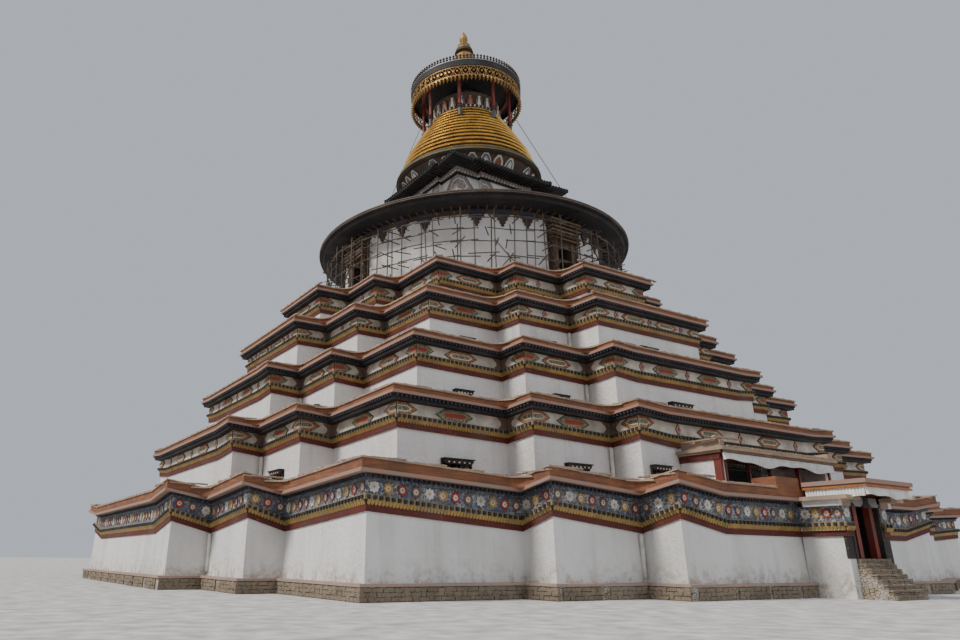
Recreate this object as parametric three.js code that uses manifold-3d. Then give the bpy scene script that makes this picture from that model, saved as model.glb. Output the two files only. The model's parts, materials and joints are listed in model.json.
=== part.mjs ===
import * as THREE from 'three';
import { mergeVertices } from 'three/addons/utils/BufferGeometryUtils.js';
import Module from 'manifold-3d';

const wasm = await Module();
wasm.setup();

// A terraced stupa as a 1:2 scale model. Every size below is given in metres of the real building,
// and MODEL turns it into millimetres of the model. The origin is on the axis at ground level, +Z is up,
// and the entrance side faces -Y.
const MODEL = 500;

// Clearance between pieces that touch, in real metres
const GAP = 0.0006;

// Each tier has a redented plan. reach is how far the central bay, the flank and the corner stand from
// the axis, half is how far the bay and the flank reach to each side. frieze is the height of the
// painted frieze's lower edge and lift is how far the cornice rises at every outer corner.
const TIERS = [
  { reach: [25.6, 23.65, 21.9], half: [9.8, 14.7], frieze: 3.1, friezeHeight: 0.65, lift: 0.35 },
  { reach: [22.15, 20.45, 18.65], half: [7.55, 12.55], frieze: 7.2, friezeHeight: 0.6, lift: 0.15 },
  { reach: [19.5, 17.55, 15.7], half: [5.8, 10.25], frieze: 11.08, friezeHeight: 0.6, lift: 0.1 },
  { reach: [17.35, 15.2, 13.25], half: [4.4, 8.4], frieze: 14.87, friezeHeight: 0.5, lift: 0 },
  { reach: [15.0, 12.7, 10.9], half: [2.55, 6.25], frieze: 17.96, friezeHeight: 0.6, lift: 0 },
];

// Walls and courses
const WALL_THICKNESS = 0.8;
const WALL_BATTER = [0.12, 0.05, 0.05, 0.05, 0.05];
const CORNICE_DEPTH = 0.6;
const CORNICE_MAROON = 0.23;
const CORNICE_FLARE = 0.2;
const FRIEZE_SKIN = 0.06;
const RAFTER_HEIGHT = 0.25;
const SLAB_HEIGHT = 0.13;
const RAFTER_REACH = 0.42;
const EAVE_REACH = 0.6;
const PARAPET_OUTER = 0.5;
const PARAPET_INNER = 0.15;
const PARAPET_HEIGHT = [0.37, 0.24, 0.2, 0.24, 0.2];
const FLAT_ZONE = 1.3;
const BAY_UPTURN = 0.28;

// Plinth of rubble, and the raised floor inside it
const PLINTH_REACH = 0.45;
const PLINTH_HEIGHT = 0.55;
const GROUND_FLOOR = 1.55;

// Low windows above each terrace: their heads above it, and centres and widths per stretch of wall
const WINDOW_HEIGHT = 0.65;
const WINDOW_DEPTH = { inner: 1.2, outer: 0.4 };
const WINDOWS = [
  { tier: 1, head: 1.49, corner: 1.65, flank: 1.5, bay: [-6.5, 6.5], bayWidth: 1.2 },
  { tier: 2, head: 1.45, corner: 1.15, flank: 1.1, bay: [-1.0], bayWidth: 1.8 },
  { tier: 3, head: 1.37, corner: 1.1, flank: 1.0, bay: [-0.5], bayWidth: 1.5 },
];

// Entrance gate in front of the lowest tier's bay. Its steps run between the side walls and on in front,
// and low blocks stand on the terrace at both ends of its roof.
const GATE_LEFT = -1.9;
const GATE_RIGHT = 1.5;
const GATE_FRONT = 27.6;
const GATE_WALL = 0.45;
const GATE_FLOOR = 1.6;
const GATE_BEAM_BOTTOM = 4.2;
const GATE_BEAM_TOP = 4.5;
const GATE_BEAM_DEPTH = 0.4;
const GATE_ROOF_TOP = 4.8;
const GATE_ROOF_REACH = 1.3;
const GATE_ROOF_SIDE = 0.25;
const GATE_ROOF_BACK = 26.2;
const GATE_COLUMNS = [-0.75, 0.6];
const GATE_COLUMN_SIZE = 0.28;
const GATE_CAPITAL = { neck: 0.24, arm: 0.42, height: 0.25 };
const GATE_DOOR = { left: -1.2, right: 0.8 };
const GATE_BLOCK = { width: 1.7, depth: 0.8, top: 5.0 };
const STEP_COUNT = 8;
const STEP_RUN = 0.17;
const VALANCE_DROP = 0.36;
const VALANCE_THICKNESS = 0.05;
const VALANCE_INSET = 0.16;

// Chapel porch on the first terrace
const PORCH_LEFT = -4.95;
const PORCH_RIGHT = 3.8;
const PORCH_FRONT = 24.3;
const PORCH_WALL = 0.35;
const PORCH_ROOF_BOTTOM = 6.15;
const PORCH_ROOF_TOP = 6.4;
const PORCH_PARAPET = { width: 0.3, top: 6.72 };
const PORCH_DOOR = { half: 1.4, top: 6.1 };
const PORCH_POSTS = [-2.6, -0.9, 1.4];
const PORCH_POST_SIZE = 0.16;

// Round drum with a doorway on each side
const DRUM_RADIUS = 10.55;
const DRUM_WALL = 0.9;
const DRUM_TOP = 24.95;
const DRUM_DOOR_HALF = 1.2;
const DRUM_DOOR_FACE = 10.9;
const DRUM_DOOR_TOP = 24.6;
const DRUM_LINTEL = { half: 1.3, reach: 0.15, bottom: 4.3, top: 4.6 };
const DRUM_SILL = { half: 1.0, reach: 0.1, top: 0.5 };
const DRUM_OPENING = { half: 0.65, bottom: 0.8, top: 3.7 };
const EAVE_RADIUS = 12.75;
const EAVE_EDGE = 25.4;
const DRUM_ROOF_TOP = 26.05;
const DRUM_ROOF_FLAT = 7.5;

// Pole scaffolding round the drum
const SCAFFOLD_BAYS = 16;
const SCAFFOLD_POLE = 0.1;
const SCAFFOLD_TOP = 5.4;
const SCAFFOLD_RINGS = [
  { radius: 11.4, levels: [5.0] },
  { radius: 12.1, levels: [1.5, 3.1, 4.3, 5.0] },
];

// Square block above the drum with its cornice and eave
const HARMIKA = { reach: [4.75, 4.45], half: [2.3] };
const HARMIKA_TOP = 30.45;
const HARMIKA_CORNICE_TOP = 30.9;
const HARMIKA_EAVE = 1.55;
const HARMIKA_ROOF_TOP = 31.6;
const HARMIKA_LIFT = 0.12;

// Lotus base and thirteen rings. The profile gives the cone's [height, radius].
const LOTUS_PROFILE = [[5.2, 31.6], [5.85, 32.5], [6.15, 32.55], [6.3, 32.65], [6.3, 32.9]];
const RING_COUNT = 13;
const RING_BASE = 32.9;
const RING_TOP = 38.67;
const RING_PROFILE = [
  [RING_BASE, 6.05], [34.3, 5.65], [34.9, 5.4], [36.5, 4.5], [37.8, 3.7], [RING_TOP, 3.2],
];
const RING_SEGMENTS = 32;
const PANEL_RADIUS = 3.0;
const PANEL_TOP = 40.3;
const SHAFT_RADIUS = 1.3;

// Parasol on its posts, with a deep valance and the finial above
const POST_COUNT = 8;
const POST_CIRCLE = 3.9;
const POST_RADIUS = 0.11;
const POST_FOOT = 37.2;
const POST_RING_WIDTH = 0.3;
const PARASOL_RADIUS = 4.97;
const PARASOL_UNDERSIDE = 41.85;
const PARASOL_EDGE = 42.2;
const PARASOL_SLOPE = [[3.9, 42.55], [2.6, 43.3], [1.5, 44.4], [0.95, 45.6]];
const PARASOL_TOP = 45.6;
const PARASOL_VALANCE = { thickness: 0.08, bottom: 40.1 };
const FINIAL_PROFILE = [
  [0.95, 45.6], [1.0, 45.9], [0.85, 46.3], [0.5, 46.65], [0.76, 46.7], [0.76, 47.1], [0.55, 47.3],
  [0.6, 47.55], [0.28, 47.85], [0.39, 48.25], [0.3, 48.7],
];
const FINIAL_TOP = 49.2;
const ROUND_SEGMENTS = 40;

// Guy cables: bearing of the head on the parasol's valance and of the foot on the drum's roof
const STAYS = [[344, 328], [114, 120], [49, 44]];
const STAY_RADIUS = 0.03;
const STAY_HEAD = 40.3;
const STAY_FOOT_RADIUS = 11.6;
const STAY_FOOT_DEPTH = 0.55;

const floorOf = (tier) => tier.frieze + tier.friezeHeight + RAFTER_HEIGHT + SLAB_HEIGHT;

const COLOURS = {
  whitewash: [0xd9d8d2, 0.9],
  stone: [0x7d7264, 0.95],
  maroon: [0x5a1912, 0.85],
  slate: [0xaf735f, 0.9],
  clay: [0x8c4b2d, 0.9],
  timber: [0x30241e, 0.8],
  redTimber: [0x6e1f16, 0.7],
  cloth: [0xd8d4cb, 0.95],
  gold: [0xc79a3c, 0.35],
  painted: [0x6f7a86, 0.8],
  metal: [0x6b5a33, 0.5],
  cable: [0x4a4a4a, 0.6],
};

const group = new THREE.Group();
group.name = 'stupa';

function addPiece(name, geometry, finish, metalness = 0) {
  const [colour, roughness] = COLOURS[finish];
  const material = new THREE.MeshStandardMaterial({ color: colour, roughness, metalness });
  const mesh = new THREE.Mesh(geometry, material);
  mesh.name = name;
  group.add(mesh);
  return mesh;
}

// Boolean helpers
function toSolid(geometry) {
  const bare = geometry.clone();
  bare.deleteAttribute('normal');
  bare.deleteAttribute('uv');
  const merged = mergeVertices(bare, 1e-3);
  return new wasm.Manifold(new wasm.Mesh({
    numProp: 3,
    vertProperties: new Float32Array(merged.attributes.position.array),
    triVerts: new Uint32Array(merged.index.array),
  }));
}

function toGeometry(solid) {
  const mesh = solid.getMesh();
  const geometry = new THREE.BufferGeometry();
  geometry.setAttribute('position', new THREE.BufferAttribute(mesh.vertProperties, 3));
  geometry.setIndex(new THREE.BufferAttribute(mesh.triVerts, 1));
  geometry.computeVertexNormals();
  return geometry;
}

function joined(geometries) {
  return geometries.map(toSolid).reduce((whole, next) => whole.add(next));
}

function cut(geometry, cutters) {
  return toGeometry(cutters.reduce((whole, cutter) => whole.subtract(toSolid(cutter)), toSolid(geometry)));
}

// A block between two corners, in real metres
function block(low, high) {
  const size = high.map((value, axis) => (value - low[axis]) * MODEL);
  const centre = high.map((value, axis) => (value + low[axis]) / 2 * MODEL);
  return new THREE.BoxGeometry(...size).translate(...centre);
}

// A block on a side of the building: side 0 is the front, then each next side is a quarter turn on.
// along runs left to right seen from outside, out is the distance from the axis.
function sideBlock(side, along, out, height) {
  const solid = block([along[0], -out[1], height[0]], [along[1], -out[0], height[1]]);
  return solid.rotateZ(side * Math.PI / 2);
}

// Points of the redented plan, moved outwards by an offset. Each is [x, y, share of the corner's lift].
function planPoints({ reach, half }, offset) {
  const r = reach.map((value) => value + offset);
  const h = half.map((value) => value + offset);
  const corner = r.length - 1;
  const left = [[-r[corner], -r[corner], 1]];
  for (let step = corner - 1; step >= 0; step -= 1) {
    left.push([-h[step], -r[step + 1], 0]);
    left.push([-h[step], -r[step], 1]);
  }
  left.push([-h[0] + half[0] * BAY_UPTURN, -r[0], 0]);
  const right = left.slice(1).reverse().map(([x, y, rise]) => [-x, y, rise]);
  const side = [...left, ...right];
  const points = [];
  for (let turn = 0; turn < 4; turn += 1) {
    for (const [x, y, rise] of side) {
      const [c, s] = [[1, 0], [0, 1], [-1, 0], [0, -1]][turn];
      points.push([x * c - y * s, x * s + y * c, rise]);
    }
  }
  return points;
}

// Runs a moulding's section round a redented plan, as a lathe runs one round a circle. A section is a
// list of [offset, height, lift] from the bottom outwards and up. A closed one makes a ring, an open
// one gets a flat face below and above.
function course(plan, section, closed = true) {
  const flat = section.every(([, , lift]) => !lift);
  const rings = section.map(([offset, height, lift]) => planPoints(plan, offset)
    .filter(([, , rise], index, all) => !flat || !isOnStraight(all, index))
    .map(([x, y, rise]) => [x * MODEL, y * MODEL, (height + (lift || 0) * rise) * MODEL]));
  const count = rings[0].length;
  const positions = rings.flat(2);
  const indices = [];
  const strips = closed ? rings.length : rings.length - 1;
  for (let strip = 0; strip < strips; strip += 1) {
    const low = strip * count;
    const high = ((strip + 1) % rings.length) * count;
    for (let i = 0; i < count; i += 1) {
      const next = (i + 1) % count;
      indices.push(low + i, low + next, high + next);
      indices.push(low + i, high + next, high + i);
    }
  }
  if (!closed) {
    const outline = rings[0].map(([x, y]) => new THREE.Vector2(x, y));
    const lid = THREE.ShapeUtils.triangulateShape(outline, []);
    const top = (rings.length - 1) * count;
    for (const [a, b, c] of lid) {
      indices.push(a, c, b);
      indices.push(top + a, top + b, top + c);
    }
  }
  const geometry = new THREE.BufferGeometry();
  geometry.setAttribute('position', new THREE.Float32BufferAttribute(positions, 3));
  geometry.setIndex(indices);
  return geometry;
}

// True for the extra points along a bay, which a level course doesn't need
function isOnStraight(points, index) {
  const { length } = points;
  const [before, here, after] = [-1, 0, 1].map((step) => points[(index + step + length) % length]);
  const cross = (here[0] - before[0]) * (after[1] - here[1]) - (here[1] - before[1]) * (after[0] - here[0]);
  return Math.abs(cross) < 1e-9;
}

// A turned piece from [radius, height] pairs in real metres, from the axis or closing on itself
function turned(profile, segments = ROUND_SEGMENTS) {
  const points = profile.map(([radius, height]) => new THREE.Vector2(radius * MODEL, height * MODEL));
  return new THREE.LatheGeometry(points, segments).rotateX(Math.PI / 2);
}

function turnedRing(profile, segments) {
  return turned([...profile, profile[0]], segments);
}

// Straight square or round bar between two points
function bar(from, to, radius, sides) {
  const start = new THREE.Vector3(...from).multiplyScalar(MODEL);
  const end = new THREE.Vector3(...to).multiplyScalar(MODEL);
  const along = end.clone().sub(start);
  const geometry = new THREE.CylinderGeometry(radius * MODEL, radius * MODEL, along.length(), sides);
  const turn = new THREE.Quaternion().setFromUnitVectors(new THREE.Vector3(0, 1, 0), along.normalize());
  return geometry.applyQuaternion(turn).translate(...start.add(end).multiplyScalar(0.5));
}

function onCircle(radius, degrees, height) {
  const angle = degrees * Math.PI / 180;
  return [radius * Math.cos(angle), radius * Math.sin(angle), height];
}

// Plinth

function makePlinth() {
  const inner = -WALL_THICKNESS - GAP;
  const section = [
    [PLINTH_REACH, 0],
    [PLINTH_REACH, PLINTH_HEIGHT],
    [inner, PLINTH_HEIGHT],
    [inner, GROUND_FLOOR],
  ];
  addPiece('plinth', course(TIERS[0], section, false), 'stone');
}

// Tiers

function wallBase(index) {
  return (index === 0 ? PLINTH_HEIGHT : floorOf(TIERS[index - 1])) + GAP;
}

function windowCutters(index) {
  const row = WINDOWS.find((entry) => entry.tier === index);
  if (!row) {
    return [];
  }
  const { reach, half } = TIERS[index];
  const head = wallBase(index) + row.head;
  const height = [head - WINDOW_HEIGHT, head];
  const cutters = [];
  const opening = (side, centre, width, face) => {
    const along = [centre - width / 2, centre + width / 2];
    const through = [face - WINDOW_DEPTH.inner, face + WINDOW_DEPTH.outer];
    cutters.push(sideBlock(side, along, through, height));
  };
  for (let side = 0; side < 4; side += 1) {
    for (const hand of [-1, 1]) {
      opening(side, hand * (half[0] + half[1]) / 2, row.flank, reach[1]);
      if (side % 2 === 0) {
        opening(side, hand * (half[1] + reach[2]) / 2, row.corner, reach[2]);
      }
    }
    if (side % 2 === 0) {
      row.bay.forEach((centre) => opening(side, centre, row.bayWidth, reach[0]));
    }
  }
  return cutters;
}

function makeTier(index) {
  const tier = TIERS[index];
  const name = `tier_${index + 1}`;
  const { frieze, lift } = tier;
  const soffit = frieze + tier.friezeHeight;
  const floor = floorOf(tier);
  const foot = frieze - CORNICE_DEPTH;

  const wall = [
    [WALL_BATTER[index], wallBase(index)],
    [0, soffit - GAP, lift],
    [-WALL_THICKNESS, soffit - GAP, lift],
    [-WALL_THICKNESS, wallBase(index)],
  ];
  const wallCutters = windowCutters(index);
  const corniceCutters = [];
  if (index === 0) {
    const through = [tier.reach[0] - 2 * WALL_THICKNESS, tier.reach[0] + 1];
    const passage = [GATE_DOOR.left, GATE_DOOR.right];
    const between = [GATE_LEFT + GATE_WALL / 2, GATE_RIGHT - GATE_WALL / 2];
    wallCutters.push(sideBlock(0, passage, through, [GATE_FLOOR, soffit]));
    corniceCutters.push(sideBlock(0, between, through, [GATE_FLOOR, soffit + lift]));
  }
  if (index === 1) {
    const through = [tier.reach[0] - 2 * WALL_THICKNESS, tier.reach[0] + 1];
    const passage = [-PORCH_DOOR.half, PORCH_DOOR.half];
    wallCutters.push(sideBlock(0, passage, through, [wallBase(index) - 0.1, PORCH_DOOR.top]));
  }
  const wallGeometry = course(tier, wall);
  addPiece(`${name}_wall`, wallCutters.length ? cut(wallGeometry, wallCutters) : wallGeometry, 'whitewash');

  // The painted frieze stands on a dentil shelf, over petals that flare from a maroon band. The band's
  // back follows the wall's batter at its own height.
  const batterAt = (height) => WALL_BATTER[index] * (soffit - height) / (soffit - wallBase(index));
  const cornice = [
    [batterAt(foot) + GAP + 0.05, foot, lift],
    [batterAt(foot) + GAP + 0.05, foot + CORNICE_MAROON, lift],
    [CORNICE_FLARE, frieze, lift],
    [FRIEZE_SKIN, frieze, lift],
    [FRIEZE_SKIN, soffit - GAP, lift],
    [GAP, soffit - GAP, lift],
    [batterAt(foot) + GAP, foot, lift],
  ];
  const corniceGeometry = course(tier, cornice);
  const corniceSolid = corniceCutters.length ? cut(corniceGeometry, corniceCutters) : corniceGeometry;
  addPiece(`${name}_cornice`, corniceSolid, 'painted');

  // The roof slab is the terrace floor inside and the eave outside, and its corners turn up
  const eave = [
    [RAFTER_REACH, soffit, lift],
    [RAFTER_REACH, soffit + RAFTER_HEIGHT, lift],
    [EAVE_REACH, soffit + RAFTER_HEIGHT, lift],
    [EAVE_REACH, floor, lift],
  ];
  const slab = lift
    ? [[-FLAT_ZONE, soffit], [-WALL_THICKNESS, soffit, lift], ...eave,
      [-WALL_THICKNESS, floor, lift], [-FLAT_ZONE, floor]]
    : eave;
  addPiece(`${name}_roof_slab`, course(tier, slab, false), 'slate');

  const top = floor + PARAPET_HEIGHT[index];
  const parapet = [
    [PARAPET_OUTER, floor + GAP, lift],
    [PARAPET_OUTER, top, lift],
    [PARAPET_INNER, top, lift],
    [PARAPET_INNER, floor + GAP, lift],
  ];
  addPiece(`${name}_parapet`, course(tier, parapet), 'clay');
}

// What the lowest tier and its plinth fill, grown by the gap, for pieces built against them
function lowestTierEnvelope() {
  const tier = TIERS[0];
  const soffit = tier.frieze + tier.friezeHeight;
  const floor = floorOf(tier);
  const top = floor + PARAPET_HEIGHT[0];
  const section = [
    [PLINTH_REACH + GAP, -1],
    [PLINTH_REACH + GAP, PLINTH_HEIGHT + GAP],
    [WALL_BATTER[0] + GAP, PLINTH_HEIGHT + GAP],
    [WALL_BATTER[0] + GAP, tier.frieze - CORNICE_DEPTH - GAP, tier.lift],
    [CORNICE_FLARE + GAP, tier.frieze - CORNICE_DEPTH - GAP, tier.lift],
    [CORNICE_FLARE + GAP, soffit - GAP, tier.lift],
    [RAFTER_REACH + GAP, soffit - GAP, tier.lift],
    [RAFTER_REACH + GAP, soffit + RAFTER_HEIGHT - GAP, tier.lift],
    [EAVE_REACH + GAP, soffit + RAFTER_HEIGHT - GAP, tier.lift],
    [EAVE_REACH + GAP, floor + GAP, tier.lift],
    [PARAPET_OUTER + GAP, floor + GAP, tier.lift],
    [PARAPET_OUTER + GAP, top + GAP, tier.lift],
    [-1, top + GAP, tier.lift],
    [-1, -1],
  ];
  return course(tier, section);
}

// Entrance gate

function makeGate() {
  const envelope = lowestTierEnvelope();
  const { frieze, friezeHeight } = TIERS[0];
  const soffit = frieze + friezeHeight;
  const floor = floorOf(TIERS[0]);
  const back = -TIERS[0].reach[0] + 0.05;
  const front = -GATE_FRONT;

  // Side walls carry the tier's own cornice and eave on round their outer face
  const clear = -TIERS[0].reach[0] - EAVE_REACH - 2 * GAP;
  const sideWall = (inner, outer, hand) => {
    const step = (depth, low, high, end = back) => {
      const edge = outer + hand * depth;
      return block([Math.min(inner, edge), front - depth * 0.4, low], [Math.max(inner, edge), end, high]);
    };
    const shell = joined([
      step(0, 0, soffit + 0.01),
      step(0.06, frieze - CORNICE_DEPTH, frieze - 0.35),
      step(0.16, frieze - 0.36, frieze),
      step(FRIEZE_SKIN, frieze - 0.01, soffit + 0.01),
      step(RAFTER_REACH, soffit, soffit + RAFTER_HEIGHT + 0.01, clear),
      step(EAVE_REACH, soffit + RAFTER_HEIGHT, floor, clear),
      step(-0.02, floor - 0.01, GATE_BEAM_BOTTOM - GAP, clear),
    ]);
    return toGeometry(shell.subtract(toSolid(envelope)));
  };
  addPiece('gate_left_wall', sideWall(GATE_LEFT + GATE_WALL, GATE_LEFT, -1), 'whitewash');
  addPiece('gate_right_wall', sideWall(GATE_RIGHT - GATE_WALL, GATE_RIGHT, 1), 'whitewash');

  // Landing and steps fill the space between the side walls and run on in front
  const left = (GATE_LEFT + GATE_WALL + GAP) * MODEL;
  const width = (GATE_RIGHT - GATE_LEFT - 2 * GATE_WALL - 2 * GAP) * MODEL;
  const rise = GATE_FLOOR / STEP_COUNT;
  const profile = new THREE.Shape();
  profile.moveTo(back * MODEL, 0);
  profile.lineTo(back * MODEL, GATE_FLOOR * MODEL);
  for (let step = 0; step < STEP_COUNT; step += 1) {
    const edge = front - step * STEP_RUN;
    profile.lineTo(edge * MODEL, (GATE_FLOOR - step * rise) * MODEL);
    profile.lineTo(edge * MODEL, (GATE_FLOOR - (step + 1) * rise) * MODEL);
  }
  const flight = new THREE.ExtrudeGeometry(profile, { depth: width, bevelEnabled: false });
  flight.rotateX(Math.PI / 2).rotateZ(Math.PI / 2).translate(left, 0, 0);
  addPiece('gate_steps', cut(flight, [envelope]), 'stone');

  // Two columns with bracket capitals carry the beam with the side walls
  const frame = [block(
    [GATE_LEFT + 0.02, front + 0.02, GATE_BEAM_BOTTOM],
    [GATE_RIGHT - 0.02, front + 0.02 + GATE_BEAM_DEPTH, GATE_BEAM_TOP],
  )];
  for (const [low, high] of [[GATE_LEFT, GATE_LEFT + GATE_WALL], [GATE_RIGHT - GATE_WALL, GATE_RIGHT]]) {
    frame.push(block([low + 0.02, front + 0.3, GATE_BEAM_BOTTOM], [high - 0.02, clear, GATE_BEAM_TOP]));
  }
  const { neck, arm, height } = GATE_CAPITAL;
  for (const x of GATE_COLUMNS) {
    const post = (half, deep, low, high) => {
      const y = front + GATE_BEAM_DEPTH / 2 + 0.02;
      frame.push(block([x - half, y - deep, low], [x + half, y + deep, high]));
    };
    const half = GATE_COLUMN_SIZE / 2;
    post(half, half, GATE_FLOOR + GAP, GATE_BEAM_BOTTOM + 0.01);
    post(neck, half + 0.02, GATE_BEAM_BOTTOM - height - 0.15, GATE_BEAM_BOTTOM - height + 0.01);
    post(arm, half + 0.02, GATE_BEAM_BOTTOM - height, GATE_BEAM_BOTTOM + 0.01);
  }
  addPiece('gate_frame', toGeometry(joined(frame)), 'redTimber');

  const roofFront = front - GATE_ROOF_REACH;
  const roofLeft = GATE_LEFT - GATE_ROOF_SIDE;
  const roofRight = GATE_RIGHT + GATE_ROOF_SIDE;
  const boards = GATE_BEAM_TOP + 0.13;
  const roof = joined([
    block([roofLeft + 0.1, roofFront + 0.1, GATE_BEAM_TOP + GAP], [roofRight - 0.1, -GATE_ROOF_BACK, boards]),
    block([roofLeft, roofFront, boards - 0.01], [roofRight, -GATE_ROOF_BACK, GATE_ROOF_TOP]),
  ]);
  addPiece('gate_roof', toGeometry(roof), 'slate');

  // Low blocks at both ends of the gate's roof: each stands on the terrace and laps over the parapet
  const blockFront = -TIERS[0].reach[0] - PARAPET_INNER + 2 * GAP;
  const blockBack = blockFront + GATE_BLOCK.depth;
  const lapFront = -TIERS[0].reach[0] - PARAPET_OUTER;
  const lapBottom = floor + PARAPET_HEIGHT[0] + GAP;
  const blocks = {
    left: [roofLeft - 2 * GAP - GATE_BLOCK.width, roofLeft - 2 * GAP],
    right: [roofRight + 2 * GAP, roofRight + 2 * GAP + GATE_BLOCK.width],
  };
  for (const [side, [low, high]] of Object.entries(blocks)) {
    const solid = joined([
      block([low, blockFront, floor + GAP], [high, blockBack, GATE_BLOCK.top]),
      block([low, lapFront, lapBottom], [high, blockBack, GATE_BLOCK.top]),
    ]);
    addPiece(`gate_block_${side}`, toGeometry(solid), 'clay');
  }

  // Cloth valance under three edges of the roof
  const outline = new THREE.Shape();
  const end = -TIERS[0].reach[0] - EAVE_REACH;
  const inset = VALANCE_INSET;
  const outer = { left: roofLeft + inset, right: roofRight - inset, y: roofFront + inset };
  const path = [
    [outer.left, end],
    [outer.left, outer.y],
    [outer.right, outer.y],
    [outer.right, end],
    [outer.right - VALANCE_THICKNESS, end],
    [outer.right - VALANCE_THICKNESS, outer.y + VALANCE_THICKNESS],
    [outer.left + VALANCE_THICKNESS, outer.y + VALANCE_THICKNESS],
    [outer.left + VALANCE_THICKNESS, end],
  ];
  outline.setFromPoints(path.map(([x, y]) => new THREE.Vector2(x * MODEL, y * MODEL)));
  const strip = new THREE.ExtrudeGeometry(outline, { depth: VALANCE_DROP * MODEL, bevelEnabled: false });
  addPiece('gate_valance', strip.translate(0, 0, (GATE_BEAM_TOP - VALANCE_DROP) * MODEL), 'cloth');
}

// Chapel porch on the first terrace

function makePorch() {
  const floor = floorOf(TIERS[0]) + GAP;
  const back = -TIERS[1].reach[0] - WALL_BATTER[1] - GAP;
  const front = -PORCH_FRONT;
  const roofBottom = PORCH_ROOF_BOTTOM - GAP;

  const walls = {
    left: [PORCH_LEFT, PORCH_LEFT + PORCH_WALL],
    right: [PORCH_RIGHT - PORCH_WALL, PORCH_RIGHT],
  };
  for (const [side, [low, high]] of Object.entries(walls)) {
    addPiece(`porch_${side}_wall`, block([low, front, floor], [high, back, roofBottom]), 'whitewash');
  }

  const frameLeft = PORCH_LEFT + PORCH_WALL + GAP;
  const frameRight = PORCH_RIGHT - PORCH_WALL - GAP;
  const size = PORCH_POST_SIZE / 2;
  const y = front + 0.2;
  const bars = [
    block([frameLeft, y - size, floor], [frameRight, y + size, floor + 0.5]),
    block([frameLeft, y - size, roofBottom - 0.3], [frameRight, y + size, roofBottom]),
  ];
  for (const x of PORCH_POSTS) {
    bars.push(block([x - size, y - size, floor + 0.4], [x + size, y + size, roofBottom - 0.2]));
  }
  addPiece('porch_frame', toGeometry(joined(bars)), 'redTimber');

  // The roof's lower boards, its slab, and a low parapet along both sides
  const parapetBack = back - CORNICE_FLARE;
  const { width, top } = PORCH_PARAPET;
  const leftRim = PORCH_LEFT - 0.1;
  const rightRim = PORCH_RIGHT + 0.1;
  const boardsTop = PORCH_ROOF_BOTTOM + 0.1;
  const roof = joined([
    block([leftRim - 0.05, front - 0.3, PORCH_ROOF_BOTTOM], [rightRim + 0.05, back, boardsTop + 0.01]),
    block([leftRim - 0.15, front - 0.4, boardsTop], [rightRim + 0.15, back, PORCH_ROOF_TOP]),
    block([leftRim, front - 0.2, PORCH_ROOF_TOP - 0.01], [leftRim + width, parapetBack, top]),
    block([rightRim - width, front - 0.2, PORCH_ROOF_TOP - 0.01], [rightRim, parapetBack, top]),
  ]);
  addPiece('porch_roof', toGeometry(roof), 'slate');

  const valance = block(
    [leftRim, front - 0.25, PORCH_ROOF_BOTTOM - GAP - VALANCE_DROP],
    [rightRim, front - 0.25 + VALANCE_THICKNESS, PORCH_ROOF_BOTTOM - GAP],
  );
  addPiece('porch_valance', valance, 'cloth');
}

// Drum

function drumFloor() {
  return floorOf(TIERS[4]);
}

function makeDrum() {
  const floor = drumFloor() + GAP;
  const inner = DRUM_RADIUS - DRUM_WALL;
  const side = DRUM_DOOR_HALF + 2 * GAP;
  for (let quarter = 0; quarter < 4; quarter += 1) {
    const turn = quarter * Math.PI / 2;
    const outerTrim = Math.asin(side / DRUM_RADIUS);
    const innerTrim = Math.asin(side / inner);
    const sector = new THREE.Shape();
    sector.absarc(0, 0, DRUM_RADIUS * MODEL, turn + outerTrim, turn + Math.PI / 2 - outerTrim, false);
    sector.absarc(0, 0, inner * MODEL, turn + Math.PI / 2 - innerTrim, turn + innerTrim, true);
    const depth = (DRUM_TOP - GAP - floor) * MODEL;
    const wall = new THREE.ExtrudeGeometry(sector, { depth, bevelEnabled: false, curveSegments: 9 });
    addPiece(`drum_wall_${quarter + 1}`, wall.translate(0, 0, floor * MODEL), 'whitewash');

    // Door surround with its lintel, set between two lengths of wall
    const opening = block(
      [-DRUM_OPENING.half, -DRUM_RADIUS - 1.5, floor + DRUM_OPENING.bottom],
      [DRUM_OPENING.half, -inner + 1.5, floor + DRUM_OPENING.top],
    );
    const shelf = ({ half, reach }, height) => {
      return sideBlock(0, [-half, half], [DRUM_RADIUS + 0.05, DRUM_DOOR_FACE + reach], height);
    };
    const surround = joined([
      sideBlock(0, [-DRUM_DOOR_HALF, DRUM_DOOR_HALF], [inner, DRUM_RADIUS], [floor, DRUM_TOP - GAP]),
      sideBlock(0, [-1.1, 1.1], [DRUM_RADIUS - 0.1, DRUM_DOOR_FACE], [floor, DRUM_DOOR_TOP]),
      shelf(DRUM_LINTEL, [floor + DRUM_LINTEL.bottom, floor + DRUM_LINTEL.top]),
      shelf(DRUM_SILL, [floor, floor + DRUM_SILL.top]),
    ]).subtract(toSolid(opening));
    addPiece(`drum_door_${quarter + 1}`, toGeometry(surround).rotateZ(turn), 'metal');
  }
  addPiece('drum_roof', turned(drumRoofProfile(0), 48), 'timber');
}

function drumRoofProfile(grow) {
  return [
    [0, DRUM_TOP - grow],
    [EAVE_RADIUS - 0.35, DRUM_TOP - grow],
    [EAVE_RADIUS - 0.25, DRUM_TOP + 0.2 - grow],
    [EAVE_RADIUS + grow, DRUM_TOP + 0.22 - grow],
    [EAVE_RADIUS + grow, EAVE_EDGE + grow],
    [DRUM_ROOF_FLAT, DRUM_ROOF_TOP + grow],
    [0, DRUM_ROOF_TOP + grow],
  ];
}

// Scaffolding: two rings of standards tied by ledgers and transoms

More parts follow.
